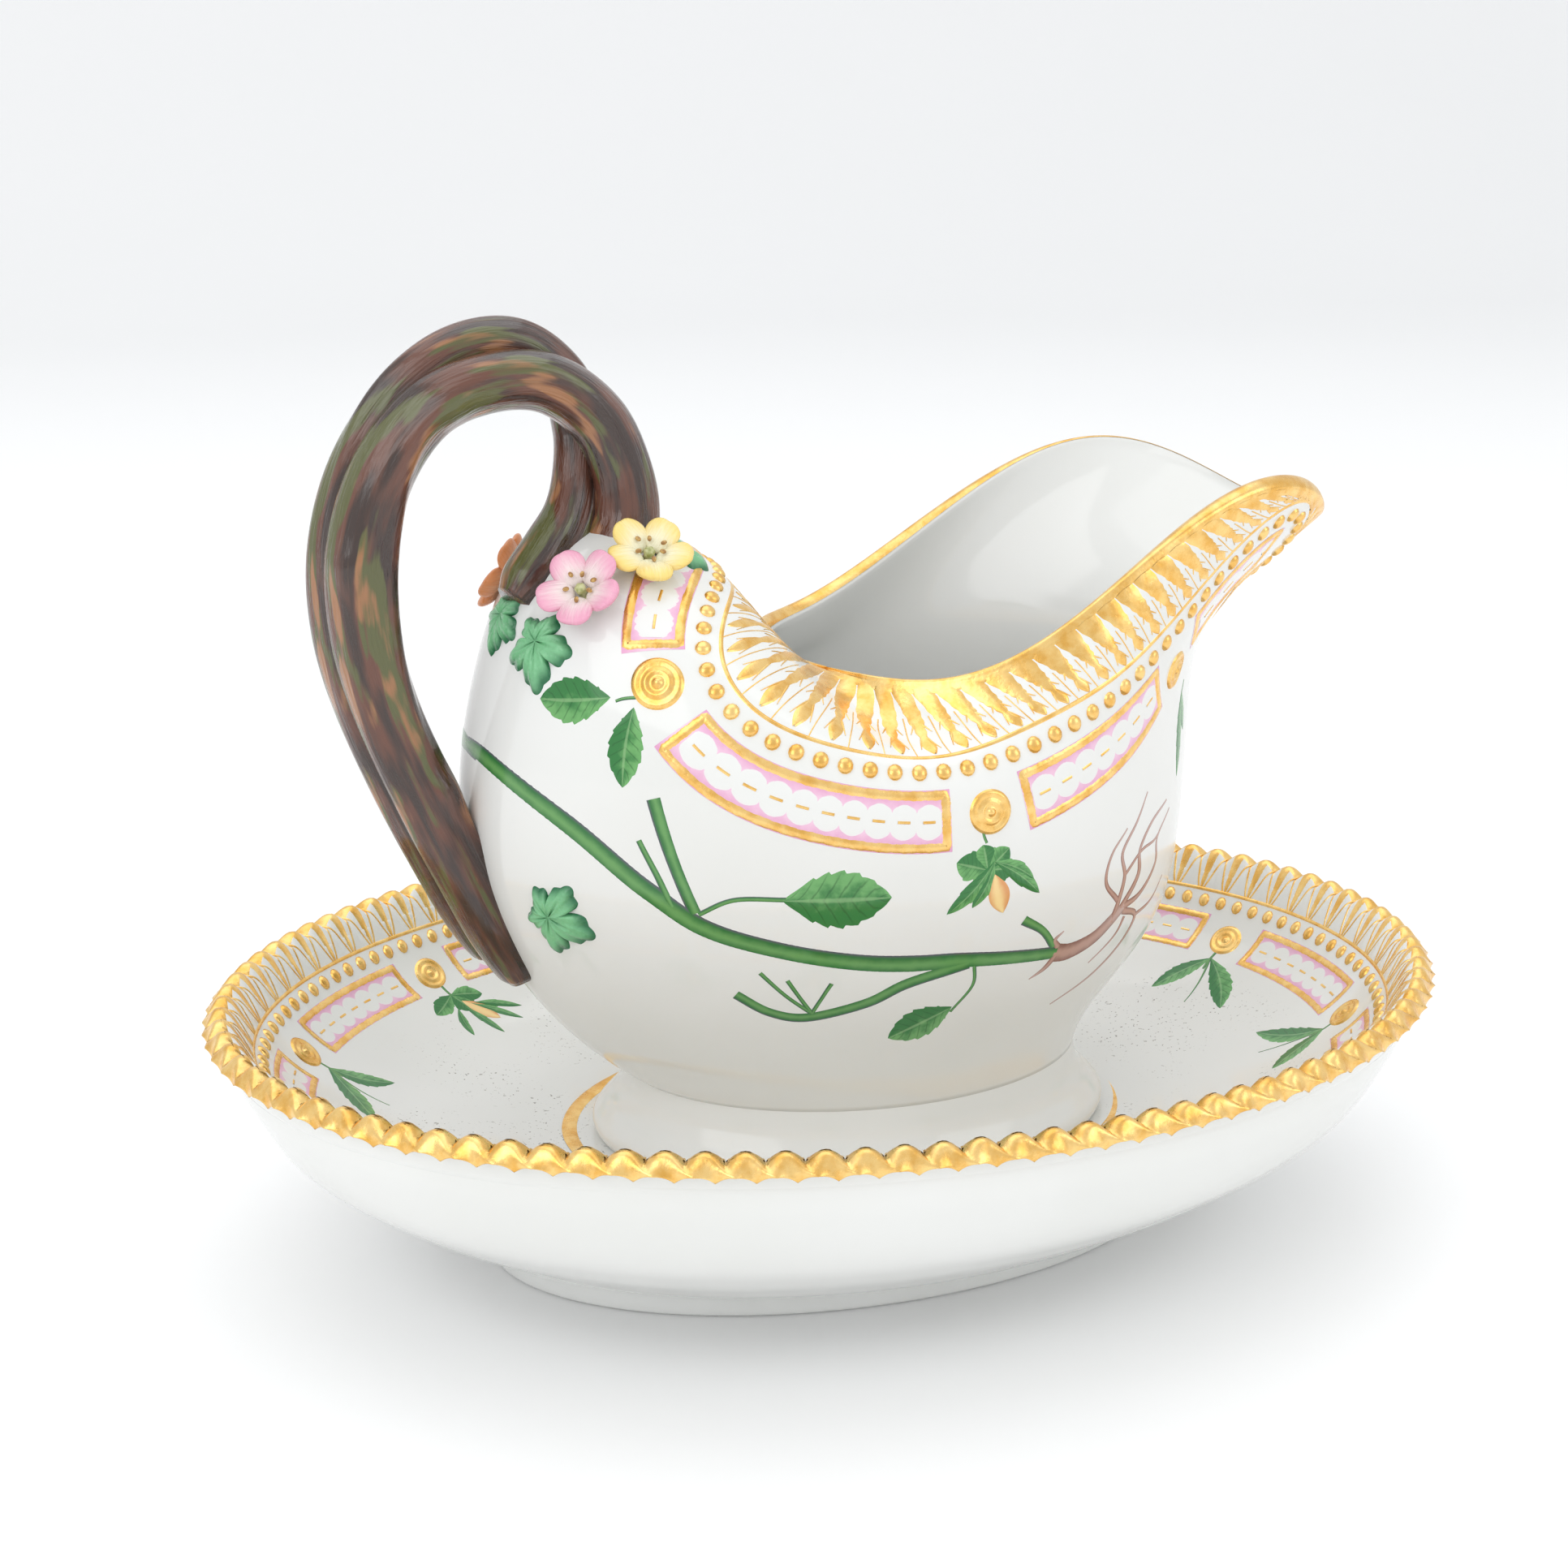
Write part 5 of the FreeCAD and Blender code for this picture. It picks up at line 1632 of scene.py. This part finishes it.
class GRAVYBOAT_OT_stand_border(bpy.types.Operator):
    """Build the beads, panels and rosettes inside the stand"""

    bl_idname = "gravyboat.stand_border"
    bl_label = "Stand Border"

    def execute(self, context):
        build_stand_border()
        return {"FINISHED"}


class GRAVYBOAT_OT_stand_sprigs(bpy.types.Operator):
    """Build the painted sprigs and the gold ring on the stand's floor"""

    bl_idname = "gravyboat.stand_sprigs"
    bl_label = "Stand Sprigs and Ring"

    def execute(self, context):
        build_stand_sprigs()
        build_stand_floor_ring()
        return {"FINISHED"}


class GRAVYBOAT_OT_boat_body(bpy.types.Operator):
    """Build the boat's bowl, its gilt rim and its foot"""

    bl_idname = "gravyboat.boat_body"
    bl_label = "Boat Body"

    def execute(self, context):
        build_boat_bowl()
        build_boat_foot()
        return {"FINISHED"}


class GRAVYBOAT_OT_boat_border(bpy.types.Operator):
    """Build the gold leaves, beads, panels and rosettes under the boat's rim"""

    bl_idname = "gravyboat.boat_border"
    bl_label = "Boat Border"

    def execute(self, context):
        build_boat_border()
        return {"FINISHED"}


class GRAVYBOAT_OT_boat_spray(bpy.types.Operator):
    """Build the painted branch and sprigs on the boat"""

    bl_idname = "gravyboat.boat_spray"
    bl_label = "Boat Spray"

    def execute(self, context):
        build_boat_spray()
        return {"FINISHED"}


class GRAVYBOAT_OT_handle(bpy.types.Operator):
    """Build the two branches of the handle"""

    bl_idname = "gravyboat.handle"
    bl_label = "Handle"

    def execute(self, context):
        build_handle()
        return {"FINISHED"}


class GRAVYBOAT_OT_flowers(bpy.types.Operator):
    """Build the modelled blossoms and leaves"""

    bl_idname = "gravyboat.flowers"
    bl_label = "Blossoms and Leaves"

    def execute(self, context):
        build_blossoms()
        build_relief_leaves()
        return {"FINISHED"}


class GRAVYBOAT_OT_stage(bpy.types.Operator):
    """Build the floor, the lights and the camera"""

    bl_idname = "gravyboat.stage"
    bl_label = "Studio"

    def execute(self, context):
        build_sweep()
        build_lights()
        build_camera()
        return {"FINISHED"}


OPERATORS = [GRAVYBOAT_OT_stand_body, GRAVYBOAT_OT_stand_rim, GRAVYBOAT_OT_stand_border,
             GRAVYBOAT_OT_stand_sprigs, GRAVYBOAT_OT_boat_body, GRAVYBOAT_OT_boat_border,
             GRAVYBOAT_OT_boat_spray, GRAVYBOAT_OT_handle, GRAVYBOAT_OT_flowers, GRAVYBOAT_OT_stage]


class GRAVYBOAT_PT_panel(bpy.types.Panel):
    """The gravy boat's buttons and settings"""

    bl_idname = "GRAVYBOAT_PT_panel"
    bl_label = "Gravy Boat"
    bl_space_type = "VIEW_3D"
    bl_region_type = "UI"
    bl_category = "Gravy Boat"

    def draw(self, context):
        for operator in OPERATORS:
            self.layout.operator(operator.bl_idname)
        for group in (sizes(), colours()):
            box = self.layout.box()
            for name in group.__annotations__:
                box.prop(group, name)


def register():
    for kind in [GravyBoatSizes, GravyBoatColours] + OPERATORS + [GRAVYBOAT_PT_panel]:
        bpy.utils.register_class(kind)
    bpy.types.Scene.gravy_boat_sizes = PointerProperty(type=GravyBoatSizes)
    bpy.types.Scene.gravy_boat_colours = PointerProperty(type=GravyBoatColours)


def unregister():
    del bpy.types.Scene.gravy_boat_colours
    del bpy.types.Scene.gravy_boat_sizes
    for kind in [GRAVYBOAT_PT_panel] + OPERATORS[::-1] + [GravyBoatColours, GravyBoatSizes]:
        bpy.utils.unregister_class(kind)


def main():
    register()
    for operator in OPERATORS:
        group, name = operator.bl_idname.split(".")
        if getattr(getattr(bpy.ops, group), name)() != {"FINISHED"}:
            raise RuntimeError(operator.bl_label + " did not finish")
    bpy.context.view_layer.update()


if __name__ == "__main__":
    main()
